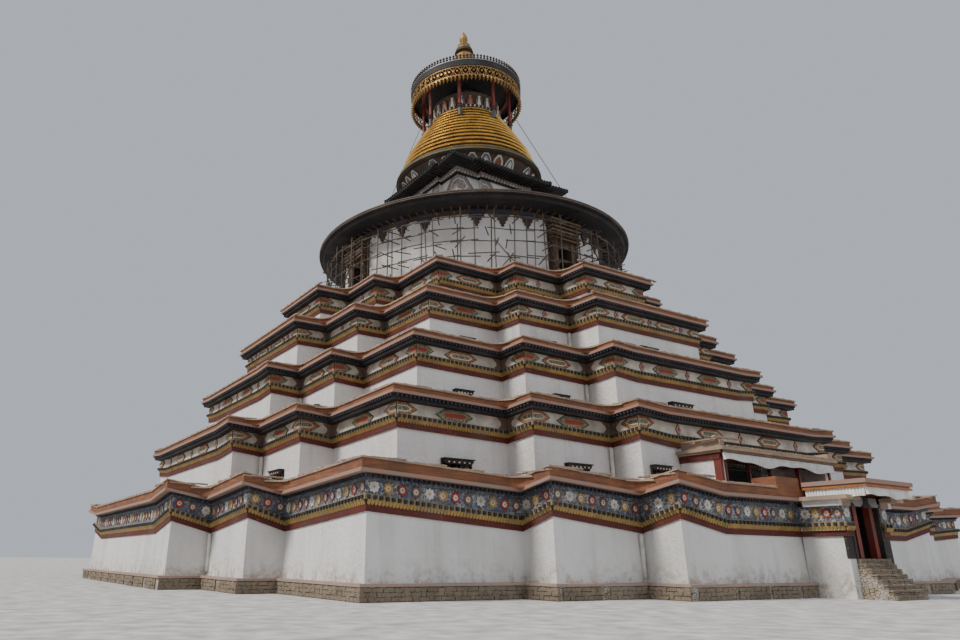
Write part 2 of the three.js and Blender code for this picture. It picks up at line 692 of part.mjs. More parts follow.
function makeScaffold() {
  const floor = drumFloor() + GAP;
  const half = SCAFFOLD_POLE / 2;
  const parts = [];
  const place = (geometry, index) => geometry.rotateZ(2 * Math.PI * index / SCAFFOLD_BAYS);
  for (const { radius, levels } of SCAFFOLD_RINGS) {
    for (let bay = 0; bay < SCAFFOLD_BAYS; bay += 1) {
      const low = [radius - half, -half, floor];
      const high = [radius + half, half, floor + SCAFFOLD_TOP];
      parts.push(place(block(low, high), bay));
    }
    for (const level of levels) {
      const low = floor + level - half;
      const high = floor + level + half;
      parts.push(turnedRing([
        [radius - half, low],
        [radius + half, low],
        [radius + half, high],
        [radius - half, high],
      ], SCAFFOLD_BAYS));
    }
  }
  const [inner, outer] = SCAFFOLD_RINGS;
  for (const level of inner.levels) {
    for (let bay = 0; bay < SCAFFOLD_BAYS; bay += 1) {
      const low = [inner.radius, -half, floor + level - half];
      const high = [outer.radius, half, floor + level + half];
      parts.push(place(block(low, high), bay));
    }
  }
  const frame = toGeometry(joined(parts)).rotateZ(Math.PI / SCAFFOLD_BAYS);
  addPiece('drum_scaffold', frame, 'timber');
}

// Harmika: square block, cornice and eave

function makeHarmika() {
  const base = DRUM_ROOF_TOP + GAP;
  addPiece('harmika_block', course(HARMIKA, [[0.08, base], [0, HARMIKA_TOP - GAP]], false), 'whitewash');
  const cornice = [
    [0.12, HARMIKA_TOP],
    [0.3, HARMIKA_TOP + 0.18],
    [0.3, HARMIKA_CORNICE_TOP - GAP],
  ];
  addPiece('harmika_cornice', course(HARMIKA, cornice, false), 'painted');
  const low = HARMIKA_CORNICE_TOP;
  const eave = [
    [0.32, low, 0],
    [HARMIKA_EAVE - 0.15, low - 0.07, HARMIKA_LIFT],
    [HARMIKA_EAVE, low - 0.05, HARMIKA_LIFT],
    [HARMIKA_EAVE, low + 0.15, HARMIKA_LIFT],
    [0.7, low + 0.4, 0],
    [0.5, HARMIKA_ROOF_TOP, 0],
  ];
  addPiece('harmika_roof', course(HARMIKA, eave, false), 'timber');
}

// Lotus base and rings

function ringRadius(height) {
  for (let i = 1; i < RING_PROFILE.length; i += 1) {
    const [[z0, r0], [z1, r1]] = [RING_PROFILE[i - 1], RING_PROFILE[i]];
    if (height <= z1) {
      return r0 + (r1 - r0) * (height - z0) / (z1 - z0);
    }
  }
  return RING_PROFILE[RING_PROFILE.length - 1][1];
}

function ringProfile(grow) {
  const pitch = (RING_TOP - RING_BASE) / RING_COUNT;
  const profile = [[0, RING_BASE - grow]];
  for (let ring = 0; ring < RING_COUNT; ring += 1) {
    const low = RING_BASE + ring * pitch;
    const outer = ringRadius(low + pitch * 0.5) + grow;
    profile.push([outer, low + (ring ? grow : -grow)]);
    profile.push([outer, low + pitch + grow]);
  }
  profile.push([0, RING_TOP + grow]);
  return profile;
}

function makeSpire() {
  const lotus = LOTUS_PROFILE.map(([radius, height]) => [radius, height + GAP]);
  const [foot, crown] = [lotus[0], lotus[lotus.length - 1]];
  addPiece('lotus_base', turned([[0, foot[1]], ...lotus, [0, crown[1]]], RING_SEGMENTS), 'painted');
  const rings = turned(ringProfile(0), RING_SEGMENTS).translate(0, 0, 2 * GAP * MODEL);
  addPiece('thirteen_rings', rings, 'gold', 0.9);
  addPiece('panel_drum', turned([
    [0, RING_TOP + 3 * GAP],
    [PANEL_RADIUS, RING_TOP + 3 * GAP],
    [PANEL_RADIUS, RING_TOP + 0.3],
    [PANEL_RADIUS - 0.15, RING_TOP + 0.35],
    [PANEL_RADIUS, PANEL_TOP],
    [SHAFT_RADIUS, PANEL_TOP + 0.1],
    [SHAFT_RADIUS, PARASOL_UNDERSIDE - GAP],
    [0, PARASOL_UNDERSIDE - GAP],
  ], RING_SEGMENTS), 'painted');
}

// Parasol: posts, roof, pierced valance and finial

function makeParasol() {
  const ringLow = PARASOL_UNDERSIDE - POST_RING_WIDTH;
  const ringHigh = PARASOL_UNDERSIDE - GAP;
  const posts = [turnedRing([
    [POST_CIRCLE - POST_RING_WIDTH / 2, ringLow],
    [POST_CIRCLE + POST_RING_WIDTH / 2, ringLow],
    [POST_CIRCLE + POST_RING_WIDTH / 2, ringHigh],
    [POST_CIRCLE - POST_RING_WIDTH / 2, ringHigh],
  ], 24)];
  for (let post = 0; post < POST_COUNT; post += 1) {
    const bearing = 360 * post / POST_COUNT;
    const foot = onCircle(POST_CIRCLE, bearing, POST_FOOT);
    posts.push(bar(foot, onCircle(POST_CIRCLE, bearing, PARASOL_UNDERSIDE - 0.1), POST_RADIUS, 6));
  }
  const clearRings = toSolid(turned(ringProfile(4 * GAP), RING_SEGMENTS));
  addPiece('parasol_posts', toGeometry(joined(posts).subtract(clearRings)), 'redTimber');

  addPiece('parasol_roof', turned([
    [0, PARASOL_UNDERSIDE],
    [PARASOL_RADIUS, PARASOL_UNDERSIDE],
    [PARASOL_RADIUS, PARASOL_EDGE],
    ...PARASOL_SLOPE,
    [0, PARASOL_TOP],
  ]), 'gold', 0.8);

  const outer = PARASOL_RADIUS - 0.04;
  const { thickness, bottom } = PARASOL_VALANCE;
  addPiece('parasol_valance', turnedRing([
    [outer - thickness, bottom],
    [outer, bottom],
    [outer, PARASOL_UNDERSIDE - GAP],
    [outer - thickness, PARASOL_UNDERSIDE - GAP],
  ]), 'metal', 0.6);

  const raised = FINIAL_PROFILE.map(([radius, height]) => [radius, height + GAP]);
  addPiece('finial', turned([[0, PARASOL_TOP + GAP], ...raised, [0, FINIAL_TOP]], 16), 'gold', 0.9);
}

// Guy cables from the parasol's valance down to the drum's roof

function makeStays() {
  const roof = toSolid(turned(drumRoofProfile(GAP), 48));
  STAYS.forEach(([head, foot], index) => {
    const from = onCircle(PARASOL_RADIUS + STAY_RADIUS + 0.005, head, STAY_HEAD);
    const to = onCircle(STAY_FOOT_RADIUS, foot, DRUM_ROOF_TOP - STAY_FOOT_DEPTH);
    const cable = toSolid(bar(from, to, STAY_RADIUS, 6)).subtract(roof);
    addPiece(`stay_${index + 1}`, toGeometry(cable), 'cable', 0.7);
  });
}

makePlinth();
TIERS.forEach((tier, index) => makeTier(index));
makeGate();
makePorch();
makeDrum();
makeScaffold();
makeHarmika();
makeSpire();
makeParasol();
makeStays();

export default group;
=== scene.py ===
# %% [markdown]
# A terraced stupa as a half-size model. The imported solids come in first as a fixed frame, and everything
# below dresses them. Sizes are written in metres of the real building and halved by one helper, because
# a builder thinks in the real size. The other way is to write model sizes, but then no number can be
# checked against the building.

# %% Frame, scale and the few sizes that drive the rest
import json
import math
import random

import bmesh
import bpy
from mathutils import Matrix, Vector

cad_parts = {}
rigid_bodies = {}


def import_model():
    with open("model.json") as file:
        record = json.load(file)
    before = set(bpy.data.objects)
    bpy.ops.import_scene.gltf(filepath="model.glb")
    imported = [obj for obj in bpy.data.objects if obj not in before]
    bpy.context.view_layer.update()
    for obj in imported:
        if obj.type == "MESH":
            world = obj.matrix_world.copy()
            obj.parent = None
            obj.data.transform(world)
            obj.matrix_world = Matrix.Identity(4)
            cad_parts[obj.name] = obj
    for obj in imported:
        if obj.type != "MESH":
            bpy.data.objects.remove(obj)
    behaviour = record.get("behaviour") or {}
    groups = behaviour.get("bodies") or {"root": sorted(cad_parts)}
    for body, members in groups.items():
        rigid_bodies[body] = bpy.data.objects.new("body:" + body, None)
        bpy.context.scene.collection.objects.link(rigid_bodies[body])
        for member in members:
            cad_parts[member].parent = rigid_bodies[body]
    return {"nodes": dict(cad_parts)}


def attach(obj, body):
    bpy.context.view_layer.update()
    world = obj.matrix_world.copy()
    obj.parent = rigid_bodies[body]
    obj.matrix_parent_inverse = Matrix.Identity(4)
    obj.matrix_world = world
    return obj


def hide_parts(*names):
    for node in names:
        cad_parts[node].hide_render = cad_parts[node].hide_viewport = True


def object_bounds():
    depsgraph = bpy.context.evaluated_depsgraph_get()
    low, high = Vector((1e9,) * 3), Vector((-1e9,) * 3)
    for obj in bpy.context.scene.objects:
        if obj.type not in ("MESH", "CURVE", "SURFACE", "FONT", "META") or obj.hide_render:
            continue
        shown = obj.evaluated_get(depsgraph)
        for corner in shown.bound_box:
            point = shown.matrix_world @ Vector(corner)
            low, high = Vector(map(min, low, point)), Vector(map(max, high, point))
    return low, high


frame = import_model()
cad_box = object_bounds()

HALF_SIZE = 0.5
STOREYS = [
    {"reach": (25.6, 23.65, 21.9), "half": (9.8, 14.7), "frieze": 3.1, "band": 0.65, "lift": 0.35},
    {"reach": (22.15, 20.45, 18.65), "half": (7.55, 12.55), "frieze": 7.2, "band": 0.6, "lift": 0.15},
    {"reach": (19.5, 17.55, 15.7), "half": (5.8, 10.25), "frieze": 11.08, "band": 0.6, "lift": 0.1},
    {"reach": (17.35, 15.2, 13.25), "half": (4.4, 8.4), "frieze": 14.87, "band": 0.5, "lift": 0.0},
    {"reach": (15.0, 12.7, 10.9), "half": (2.55, 6.25), "frieze": 17.96, "band": 0.6, "lift": 0.0},
]
PARAPET_HEIGHTS = (0.37, 0.24, 0.2, 0.24, 0.2)
RAFTER_ZONE = 0.25
SLAB_THICKNESS = 0.13
UPTURN_SHARE = 0.28
PIECES = {}


def m(value):
    """Metres of the model from metres of the real building."""
    return value * HALF_SIZE


def place(x, y, z):
    return Vector((m(x), m(y), m(z)))


def terrace_height(storey):
    return storey["frieze"] + storey["band"] + RAFTER_ZONE + SLAB_THICKNESS


print("nodes in the frame:", len(frame["nodes"]))
print("terraces at:", [round(terrace_height(storey), 2) for storey in STOREYS])

# %% [markdown]
# The camera is settled first, because it says which pieces are seen from near. It stands at eye height,
# off one corner, and looks up. The picture is cut from the side of a wider one, so the lens is shifted
# a little. The other way is to turn the camera, but then upright edges would lean.

# %% Camera
PICTURE = (960, 640)
SENSOR_WIDTH = 36.0
LENS_PIXELS = 717.87
PRINCIPAL_POINT = (-94.81, 0.11)
EYE = place(-34.74, -44.91, 1.41)
YAW, PITCH, ROLL = (math.radians(angle) for angle in (59.56, 18.4, 0.55))
FAR_CLIP = 500.0


def camera_axes():
    ahead = Vector((math.cos(PITCH) * math.cos(YAW), math.cos(PITCH) * math.sin(YAW), math.sin(PITCH)))
    level = Vector((math.sin(YAW), -math.cos(YAW), 0))
    up = level.cross(ahead)
    right = level * math.cos(ROLL) + up * math.sin(ROLL)
    return right, up * math.cos(ROLL) - level * math.sin(ROLL), ahead


def add_camera():
    lens = bpy.data.cameras.new("view")
    lens.lens = LENS_PIXELS * SENSOR_WIDTH / PICTURE[0]
    lens.sensor_width = SENSOR_WIDTH
    lens.shift_x = -PRINCIPAL_POINT[0] / PICTURE[0]
    lens.shift_y = PRINCIPAL_POINT[1] / PICTURE[0]
    lens.clip_end = FAR_CLIP
    view = bpy.data.objects.new("view", lens)
    right, up, ahead = camera_axes()
    turn = Matrix((right, up, -ahead)).transposed()
    view.matrix_world = Matrix.Translation(EYE) @ turn.to_4x4()
    bpy.context.scene.collection.objects.link(view)
    bpy.context.scene.camera = view
    return lens


lens = add_camera()
print("lens", round(lens.lens, 2), "mm, shift", round(lens.shift_x, 4))

# %% [markdown]
# Plain studio light: a pale even surround, one broad key lamp that stands far off to the left, and a
# weak one from the front right. The left faces are lit and the gate's side lies in shade, which is what
# gives the steps of the plan their edges. A single round sun would make hard shadows under the eaves.

# %% Light and floor
KEY_LIGHT = {"energy": 3.4, "angle": 14.0, "colour": (1.0, 0.965, 0.91), "from": (-1.0, 0.12, 1.05)}
FILL_LIGHT = {"energy": 0.55, "angle": 60.0, "colour": (0.86, 0.93, 1.0), "from": (0.3, -1.0, 0.8)}
SURROUND = ((0.80, 0.86, 0.95), 0.62)
FLOOR_SIZE = 600.0


def add_sun(name, energy, angle, colour, **toward):
    lamp = bpy.data.lights.new(name, "SUN")
    lamp.energy = energy
    lamp.angle = math.radians(angle)
    lamp.color = colour
    sun = bpy.data.objects.new(name, lamp)
    sun.rotation_euler = Vector(toward["from"]).to_track_quat("Z", "Y").to_euler()
    bpy.context.scene.collection.objects.link(sun)


def add_surround():
    world = bpy.data.worlds.new("surround")
    world.use_nodes = True
    background = world.node_tree.nodes["Background"]
    background.inputs["Color"].default_value = (*SURROUND[0], 1)
    background.inputs["Strength"].default_value = SURROUND[1]
    bpy.context.scene.world = world


def deselect():
    if bpy.context.mode != "OBJECT":
        bpy.ops.object.mode_set(mode="OBJECT")
    bpy.ops.object.select_all(action="DESELECT")


def add_floor():
    deselect()
    bpy.ops.mesh.primitive_plane_add(size=FLOOR_SIZE, location=(0, 0, 0))
    floor = bpy.context.object
    floor.name = "floor"
    return floor


add_sun("key", **KEY_LIGHT)
add_sun("fill", **FILL_LIGHT)
add_surround()
floor = add_floor()
print("floor", FLOOR_SIZE, "m wide")

# %% [markdown]
# Every finish on the building is a small node tree that reads the place of a point on the object, so a
# stain stays where it is when the view moves. One helper holds the nodes that all of them share. Image
# textures would be quicker, but they blur close up and need files.

# %% Node helpers for the finishes


class Finish:
    """A material under construction: short calls add nodes and return their output sockets."""

    def __init__(self, name, roughness=0.85, metallic=0.0):
        self.material = bpy.data.materials.new(name)
        self.material.use_nodes = True
        self.tree = self.material.node_tree
        self.shader = self.tree.nodes["Principled BSDF"]
        self.shader.inputs["Roughness"].default_value = roughness
        self.shader.inputs["Metallic"].default_value = metallic
        self.place = self.tree.nodes.new("ShaderNodeTexCoord").outputs["Object"]

    def node(self, kind, inputs, **settings):
        node = self.tree.nodes.new(kind)
        for name, value in settings.items():
            setattr(node, name, value)
        for name, value in inputs.items():
            if isinstance(value, bpy.types.NodeSocket):
                self.tree.links.new(value, node.inputs[name])
            else:
                node.inputs[name].default_value = value
        return node

    def stretched(self, scale):
        return self.node("ShaderNodeMapping", {"Vector": self.place, "Scale": scale}).outputs["Vector"]

    def noise(self, size, detail=4.0, stretch=None, roughness=0.55):
        where = self.stretched(stretch) if stretch else self.place
        inputs = {"Vector": where, "Scale": 1 / size, "Detail": detail, "Roughness": roughness}
        return self.node("ShaderNodeTexNoise", inputs).outputs["Fac"]

    def cells(self, size, stretch=None, feature="F1", output="Color"):
        where = self.stretched(stretch) if stretch else self.place
        inputs = {"Vector": where, "Scale": 1 / size}
        return self.node("ShaderNodeTexVoronoi", inputs, feature=feature).outputs[output]

    def height(self):
        return self.node("ShaderNodeSeparateXYZ", {"Vector": self.place}).outputs["Z"]

    def ramp(self, value, *stops):
        """Colours or greys at places from 0 to 1. A grey stop is one number."""
        node = self.node("ShaderNodeValToRGB", {"Fac": value})
        elements = node.color_ramp.elements
        while len(elements) < len(stops):
            elements.new(0.5)
        for element, (position, colour) in zip(elements, stops):
            element.position = position
            grey = isinstance(colour, (int, float))
            element.color = (colour, colour, colour, 1) if grey else (*colour, 1)
        return node.outputs["Color"]

    def mix(self, amount, first, second, blend="MIX"):
        node = self.node("ShaderNodeMix", {}, data_type="RGBA", blend_type=blend)
        factor, a, b = node.inputs[0], node.inputs[6], node.inputs[7]
        for socket, value in ((factor, amount), (a, first), (b, second)):
            if isinstance(value, bpy.types.NodeSocket):
                self.tree.links.new(value, socket)
            elif socket is factor:
                socket.default_value = value
            else:
                grey = isinstance(value, (int, float))
                socket.default_value = (value, value, value, 1) if grey else (*value, 1)
        return node.outputs[2]

    def between(self, value, low, high):
        """0 below low, 1 above high, and even between."""
        inputs = {"Value": value, "From Min": low, "From Max": high}
        return self.node("ShaderNodeMapRange", inputs).outputs["Result"]

    def paint(self, colour, bump=None, strength=0.3, depth=0.01, roughness=None):
        if isinstance(colour, bpy.types.NodeSocket):
            self.tree.links.new(colour, self.shader.inputs["Base Color"])
        else:
            self.shader.inputs["Base Color"].default_value = (*colour, 1)
        if bump is not None:
            inputs = {"Height": bump, "Strength": strength, "Distance": depth}
            normal = self.node("ShaderNodeBump", inputs).outputs["Normal"]
            self.tree.links.new(normal, self.shader.inputs["Normal"])
        if roughness is not None:
            self.tree.links.new(roughness, self.shader.inputs["Roughness"])
        return self.material


print("finish helper ready")

# %% [markdown]
# The walls are stone and mud under lime wash that is thrown on every year. It runs down, so the stains
# are long and upright, and rain splashes dust onto the foot. The base stays a warm white, and the
# streaks are a noise squeezed sideways. Painting the streaks by hand would not follow fifty wall faces.

# %% Masonry finishes
LIME_WHITE = (0.755, 0.74, 0.72)
LIME_GREY = (0.56, 0.535, 0.505)
LIME_STAIN = (0.42, 0.35, 0.28)
RUBBLE_LIGHT = (0.37, 0.295, 0.215)
RUBBLE_DARK = (0.15, 0.11, 0.075)
SLAB_PINK = (0.37, 0.18, 0.13)
SLAB_GREY = (0.27, 0.20, 0.16)
CLAY_ORANGE = (0.31, 0.115, 0.05)
CLAY_DARK = (0.15, 0.065, 0.035)
COPING_TAN = (0.47, 0.33, 0.21)
SPLASH_LOW = m(0.5)
SPLASH_TOP = m(1.5)


def lime_wash():
    f = Finish("lime_wash", roughness=0.92)
    streaks = f.ramp(f.noise(m(1.3), 6, stretch=(1.0, 1.0, 0.13)), (0.46, 0.0), (0.74, 1.0))
    drips = f.ramp(f.noise(m(0.34), 5, stretch=(1.0, 1.0, 0.06)), (0.56, 0.0), (0.80, 1.0))
    patches = f.ramp(f.noise(m(3.2), 5), (0.42, 0.0), (0.70, 1.0))
    colour = f.mix(f.mix(0.4, streaks, patches), LIME_WHITE, LIME_GREY)
    colour = f.mix(f.mix(0.6, drips, 0.0), colour, LIME_STAIN)
    splash = f.mix(f.between(f.height(), SPLASH_LOW, SPLASH_TOP), 1.0, 0.0)
    mottled = f.ramp(f.noise(m(0.42), 9, roughness=0.7), (0.47, 0.0), (0.60, 1.0))
    colour = f.mix(f.mix(1.0, splash, mottled, "MULTIPLY"), colour, LIME_STAIN)
    lumps = f.mix(0.45, f.noise(m(0.7), 8, roughness=0.65), f.noise(m(0.16), 6, roughness=0.7))
    return f.paint(colour, lumps, strength=1.0, depth=m(0.14))


def rubble():
    f = Finish("rubble", roughness=0.95)
    squash = (1.0, 1.0, 1.9)
    stones = f.cells(m(0.17), squash)
    edge = f.ramp(f.cells(m(0.17), squash, "DISTANCE_TO_EDGE", "Distance"), (0.01, 0.0), (0.08, 1.0))
    colour = f.mix(f.mix(0.75, 0.35, stones), RUBBLE_LIGHT, RUBBLE_DARK)
    colour = f.mix(f.noise(m(0.1), 6), colour, RUBBLE_LIGHT)
    colour = f.mix(edge, (0.085, 0.07, 0.058), colour)
    limed = f.ramp(f.noise(m(1.6), 5), (0.50, 0.0), (0.62, 1.0))
    colour = f.mix(f.mix(0.35, limed, 0.0), colour, LIME_GREY)
    return f.paint(colour, edge, strength=0.9, depth=m(0.05))


def layered(name, light, dark, pitch, roughness=0.9):
    """Beaten clay or slabs: patchy colour, thin level layers and a rough edge."""
    f = Finish(name, roughness=roughness)
    layers = f.noise(m(pitch), 3, stretch=(0.06, 0.06, 1.0))
    patches = f.noise(m(1.1), 6)
    colour = f.mix(f.ramp(layers, (0.35, 0.0), (0.65, 1.0)), light, dark)
    colour = f.mix(f.ramp(patches, (0.42, 0.0), (0.66, 1.0)), colour, dark)
    colour = f.mix(f.ramp(f.noise(m(0.16), 6), (0.5, 0.0), (0.8, 0.5)), colour, light)
    return f.paint(colour, f.mix(0.5, layers, f.noise(m(0.07), 6)), strength=0.6, depth=m(0.03))


LIME = lime_wash()
RUBBLE = rubble()
SLAB = layered("eave_slab", SLAB_PINK, SLAB_GREY, 0.05)
CLAY = layered("clay", CLAY_ORANGE, CLAY_DARK, 0.06)
COPING = layered("coping", COPING_TAN, SLAB_GREY, 0.03)
LEDGE = layered("ledge", (0.40, 0.27, 0.21), (0.30, 0.22, 0.18), 0.2)
print("masonry finishes:", [item.name for item in (LIME, RUBBLE, SLAB, CLAY, COPING, LEDGE)])

# %% [markdown]
# The cornices are painted plaster and timber in strong, dusty colours. One function makes them all: a
# base colour, dust in large patches, small worn spots and a fine brush bump. Separate trees for each
# colour would look no better and would be harder to keep in tune.

# %% Painted finishes
DUST = (0.36, 0.30, 0.24)


def painted(name, colour, worn=None, dust=0.35, roughness=0.75, grain=None, metallic=0.0):
    f = Finish(name, roughness=roughness, metallic=metallic)
    deep = tuple(channel * 0.55 for channel in colour)
    shade = f.mix(f.ramp(f.noise(m(0.7), 6), (0.35, 0.0), (0.68, 1.0)), colour, deep)
    dusty = f.ramp(f.noise(m(1.4), 7), (0.48, 0.0), (0.75, 1.0))
    shade = f.mix(f.mix(dust, 0.0, dusty), shade, DUST)
    if worn:
        spots = f.ramp(f.noise(m(0.11), 8), (0.60, 0.0), (0.66, 1.0))
        shade = f.mix(f.mix(0.7, 0.0, spots), shade, worn)
    relief = f.noise(m(0.05), 6, stretch=grain)
    return f.paint(shade, relief, strength=0.35, depth=m(0.02))


MAROON = painted("maroon", (0.105, 0.014, 0.009), worn=(0.22, 0.06, 0.04), dust=0.12)
PETAL_GOLD = painted("petal_gold", (0.40, 0.255, 0.075), worn=(0.14, 0.10, 0.05), dust=0.35)
DENTIL_DARK = painted("dentil_dark", (0.020, 0.026, 0.022), worn=(0.20, 0.17, 0.10), dust=0.14)
FRIEZE_CREAM = painted("frieze_cream", (0.66, 0.60, 0.51), worn=(0.38, 0.29, 0.22), dust=0.16)
SHELF_TAN = painted("shelf_tan", (0.30, 0.215, 0.115), worn=(0.10, 0.075, 0.045), dust=0.25)
RAFTER_NAVY = painted("rafter_navy", (0.022, 0.027, 0.048), worn=(0.10, 0.08, 0.07), dust=0.12)
RAFTER_BLACK = painted("rafter_black", (0.013, 0.012, 0.015), worn=(0.10, 0.07, 0.05), dust=0.10)
DARK_TIMBER = painted("dark_timber", (0.030, 0.022, 0.018), worn=(0.11, 0.075, 0.05), dust=0.16,
                      grain=(1, 1, 6))
RED_TIMBER = painted("red_timber", (0.21, 0.028, 0.018), worn=(0.09, 0.03, 0.02), dust=0.12, roughness=0.55)
POLE = painted("pole", (0.085, 0.062, 0.045), worn=(0.035, 0.025, 0.02), dust=0.25, grain=(1, 1, 0.2))
LEAF_GREEN = painted("leaf_green", (0.115, 0.135, 0.065), worn=(0.24, 0.19, 0.10), dust=0.22)
UMBER = painted("umber", (0.085, 0.050, 0.032), dust=0.22)
JEWEL_RED = painted("jewel_red", (0.33, 0.045, 0.03), worn=(0.16, 0.05, 0.03), dust=0.15)
PAINT_WHITE = painted("paint_white", (0.70, 0.68, 0.62), worn=(0.36, 0.32, 0.27), dust=0.2)
PAINT_BLUE = painted("paint_blue", (0.050, 0.085, 0.19), worn=(0.20, 0.20, 0.20), dust=0.2)
PAINT_OCHRE = painted("paint_ochre", (0.48, 0.28, 0.07), worn=(0.22, 0.12, 0.05), dust=0.2)
PAINT_PURPLE = painted("paint_purple", (0.20, 0.10, 0.075), dust=0.25)
EDGE_TIMBER = painted("edge_timber", (0.11, 0.075, 0.06), worn=(0.22, 0.17, 0.14), dust=0.3)
BRACKET_BLUE = painted("bracket_blue", (0.030, 0.045, 0.085), worn=(0.12, 0.10, 0.09), dust=0.2)
SHOE_METAL = painted("shoe_metal", (0.10, 0.10, 0.105), dust=0.15, roughness=0.6, metallic=0.4)
BRONZE = painted("bronze", (0.20, 0.13, 0.065), worn=(0.06, 0.04, 0.03), dust=0.25, metallic=0.4)
PAINT_ORANGE = painted("paint_orange", (0.42, 0.15, 0.04), worn=(0.16, 0.06, 0.03), dust=0.2)
PAINT_TAN = painted("paint_tan", (0.33, 0.22, 0.13), worn=(0.16, 0.10, 0.06), dust=0.2)
BROWN_CLOTH = painted("brown_cloth", (0.20, 0.125, 0.09), worn=(0.34, 0.26, 0.19), dust=0.25)
FIELD_STONE = painted("field_stone", (0.24, 0.185, 0.13), worn=(0.09, 0.065, 0.045), dust=0.5,
                      roughness=0.95)
IRON = painted("iron", (0.035, 0.032, 0.03), worn=(0.10, 0.05, 0.03), dust=0.1, roughness=0.6, metallic=0.5)
STEEL_GREY = painted("steel_grey", (0.30, 0.30, 0.30), dust=0.1, roughness=0.5, metallic=0.6)
print("painted finishes:", len(bpy.data.materials), "materials so far")

# %% [markdown]
# Some fields are too small and rich to model: brocade in the medallions, scrolls on the blue frieze.
# Both come from a pattern of cells. Brocade gives each cell a dot of its own colour. The scrolls are the
# edges of cells that a noise has bent. Painting them in an image would need a file.

# %% Brocade and scrolls
BROCADE_CELL = m(0.14)
THREADS = ((0.42, (0.62, 0.52, 0.36)), (0.5, (0.45, 0.05, 0.03)), (0.62, (0.46, 0.29, 0.07)))


def brocade(name, ground, thread):
    """A field of small curls and dots in many colours, as small as a hand."""
    f = Finish(name, roughness=0.75)
    dots = f.node("ShaderNodeTexVoronoi", {"Vector": f.place, "Scale": 1 / BROCADE_CELL})
    spread = f.ramp(dots.outputs["Distance"], (0.18, 1.0), (0.34, 0.0))
    tint = f.ramp(dots.outputs["Color"], (0.3, thread), *THREADS)
    edge = f.cells(BROCADE_CELL, feature="DISTANCE_TO_EDGE", output="Distance")
    outline = f.ramp(edge, (0.03, 1.0), (0.10, 0.0))
    colour = f.mix(spread, f.mix(outline, ground, thread), tint)
    return f.paint(colour, dots.outputs["Distance"], strength=0.25, depth=m(0.015))


BROCADE_GREEN = brocade("brocade_green", (0.050, 0.085, 0.045), (0.34, 0.30, 0.19))
BROCADE_RED = brocade("brocade_red", (0.26, 0.055, 0.030), (0.40, 0.27, 0.13))
FLORAL_BAND = brocade("floral_band", (0.16, 0.125, 0.125), (0.42, 0.36, 0.35))


def scrolled_blue(name, light):
    """Blue ground with pale scrolls: the edges of cells that a noise has bent."""
    f = Finish(name, roughness=0.75)
    swirl = f.node("ShaderNodeTexNoise", {"Vector": f.place, "Scale": 1 / m(0.5)}).outputs["Color"]
    bent = {"Vector": f.mix(0.35, f.place, swirl), "Scale": 1 / m(0.13)}
    edge = f.node("ShaderNodeTexVoronoi", bent, feature="DISTANCE_TO_EDGE")
    lines = f.ramp(edge.outputs["Distance"], (0.05, 1.0), (0.14, 0.0))
    faded = f.ramp(f.noise(m(0.8), 6), (0.4, 0.0), (0.65, 1.0))
    ground = f.mix(faded, (0.060, 0.082, 0.150), (0.105, 0.115, 0.125))
    patchy = f.mix(1.0, lines, f.ramp(f.noise(m(0.35), 5), (0.40, 0.15), (0.62, 0.9)), "MULTIPLY")
    colour = f.mix(patchy, ground, (0.50, 0.50, 0.48))
    dusty = f.ramp(f.noise(m(1.4), 7), (0.5, 0.0), (0.78, 0.35))
    # light darkens the whole field towards near black. The copy at 0.45 is the frieze in painted shade.
    colour = f.mix(light, (0.012, 0.014, 0.022), f.mix(dusty, colour, DUST))
    return f.paint(colour, edge.outputs["Distance"], strength=0.2, depth=m(0.02))


FRIEZE_BLUE = scrolled_blue("frieze_blue", 0.92)
# The frieze darkened to 0.45: painted shade for the zone under the ground storey's eave.
FRIEZE_IN_PAINTED_SHADE = scrolled_blue("frieze_in_painted_shade", 0.45)
print("patterned finishes:", [item.name for item in (BROCADE_GREEN, BROCADE_RED, FLORAL_BAND, FRIEZE_BLUE)])

# %% [markdown]
# The rings, the parasol and the finial are copper sheet with fire gilding. Sheet is never flat, so the
# roughness and the bump both follow small dents, and the gold is dulled brown in the joints between
# sheets. A clean yellow metal would look like plastic.

# %% Gilded finishes, cloth and cable
GOLD = (0.82, 0.56, 0.20)
GOLD_DULL = (0.30, 0.17, 0.055)
OLD_BRASS = (0.34, 0.205, 0.075)


def gilded(name, bright, dull, roughness, metallic=0.9):
    f = Finish(name, roughness=roughness, metallic=metallic)
    dents = f.noise(m(0.35), 6)
    soot = f.ramp(f.noise(m(1.0), 7), (0.45, 0.0), (0.72, 1.0))
    colour = f.mix(f.mix(0.65, 0.0, soot), bright, dull)
    gloss = f.ramp(dents, (0.3, roughness - 0.08), (0.7, roughness + 0.22))
    relief = f.mix(0.3, dents, f.noise(m(0.06), 4))
    return f.paint(colour, relief, strength=0.35, depth=m(0.03), roughness=gloss)


def pleated_cotton():
    f = Finish("pleated_cotton", roughness=0.95)
    threads = f.noise(m(0.012), 3)
    dirt = f.ramp(f.noise(m(0.5), 6), (0.45, 0.0), (0.75, 1.0))
    colour = f.mix(f.mix(0.6, 0.0, dirt), (0.76, 0.755, 0.73), (0.45, 0.43, 0.40))
    f.shader.inputs["Sheen Weight"].default_value = 0.25
    return f.paint(colour, threads, strength=0.25, depth=m(0.004))


GILDING = gilded("gilding", GOLD, GOLD_DULL, 0.30)
OLD_GILDING = gilded("old_gilding", OLD_BRASS, (0.10, 0.06, 0.03), 0.42, metallic=0.75)
COTTON = pleated_cotton()
CABLE = painted("cable", (0.25, 0.25, 0.25), dust=0.1, roughness=0.5, metallic=0.7)
floor.data.materials.append(painted("studio_floor", (0.62, 0.60, 0.57), dust=0.0, roughness=0.9))
print("gilding, cloth and cable ready")

# %% [markdown]
# Every storey has the same stepped plan: a bay, two flanks and two corners on each side, which makes
# twelve outward corners on a quarter turn symmetry. One function gives that outline at any distance
# from the wall, so each moulding below runs round it. Drawing each outline by hand would let them drift.

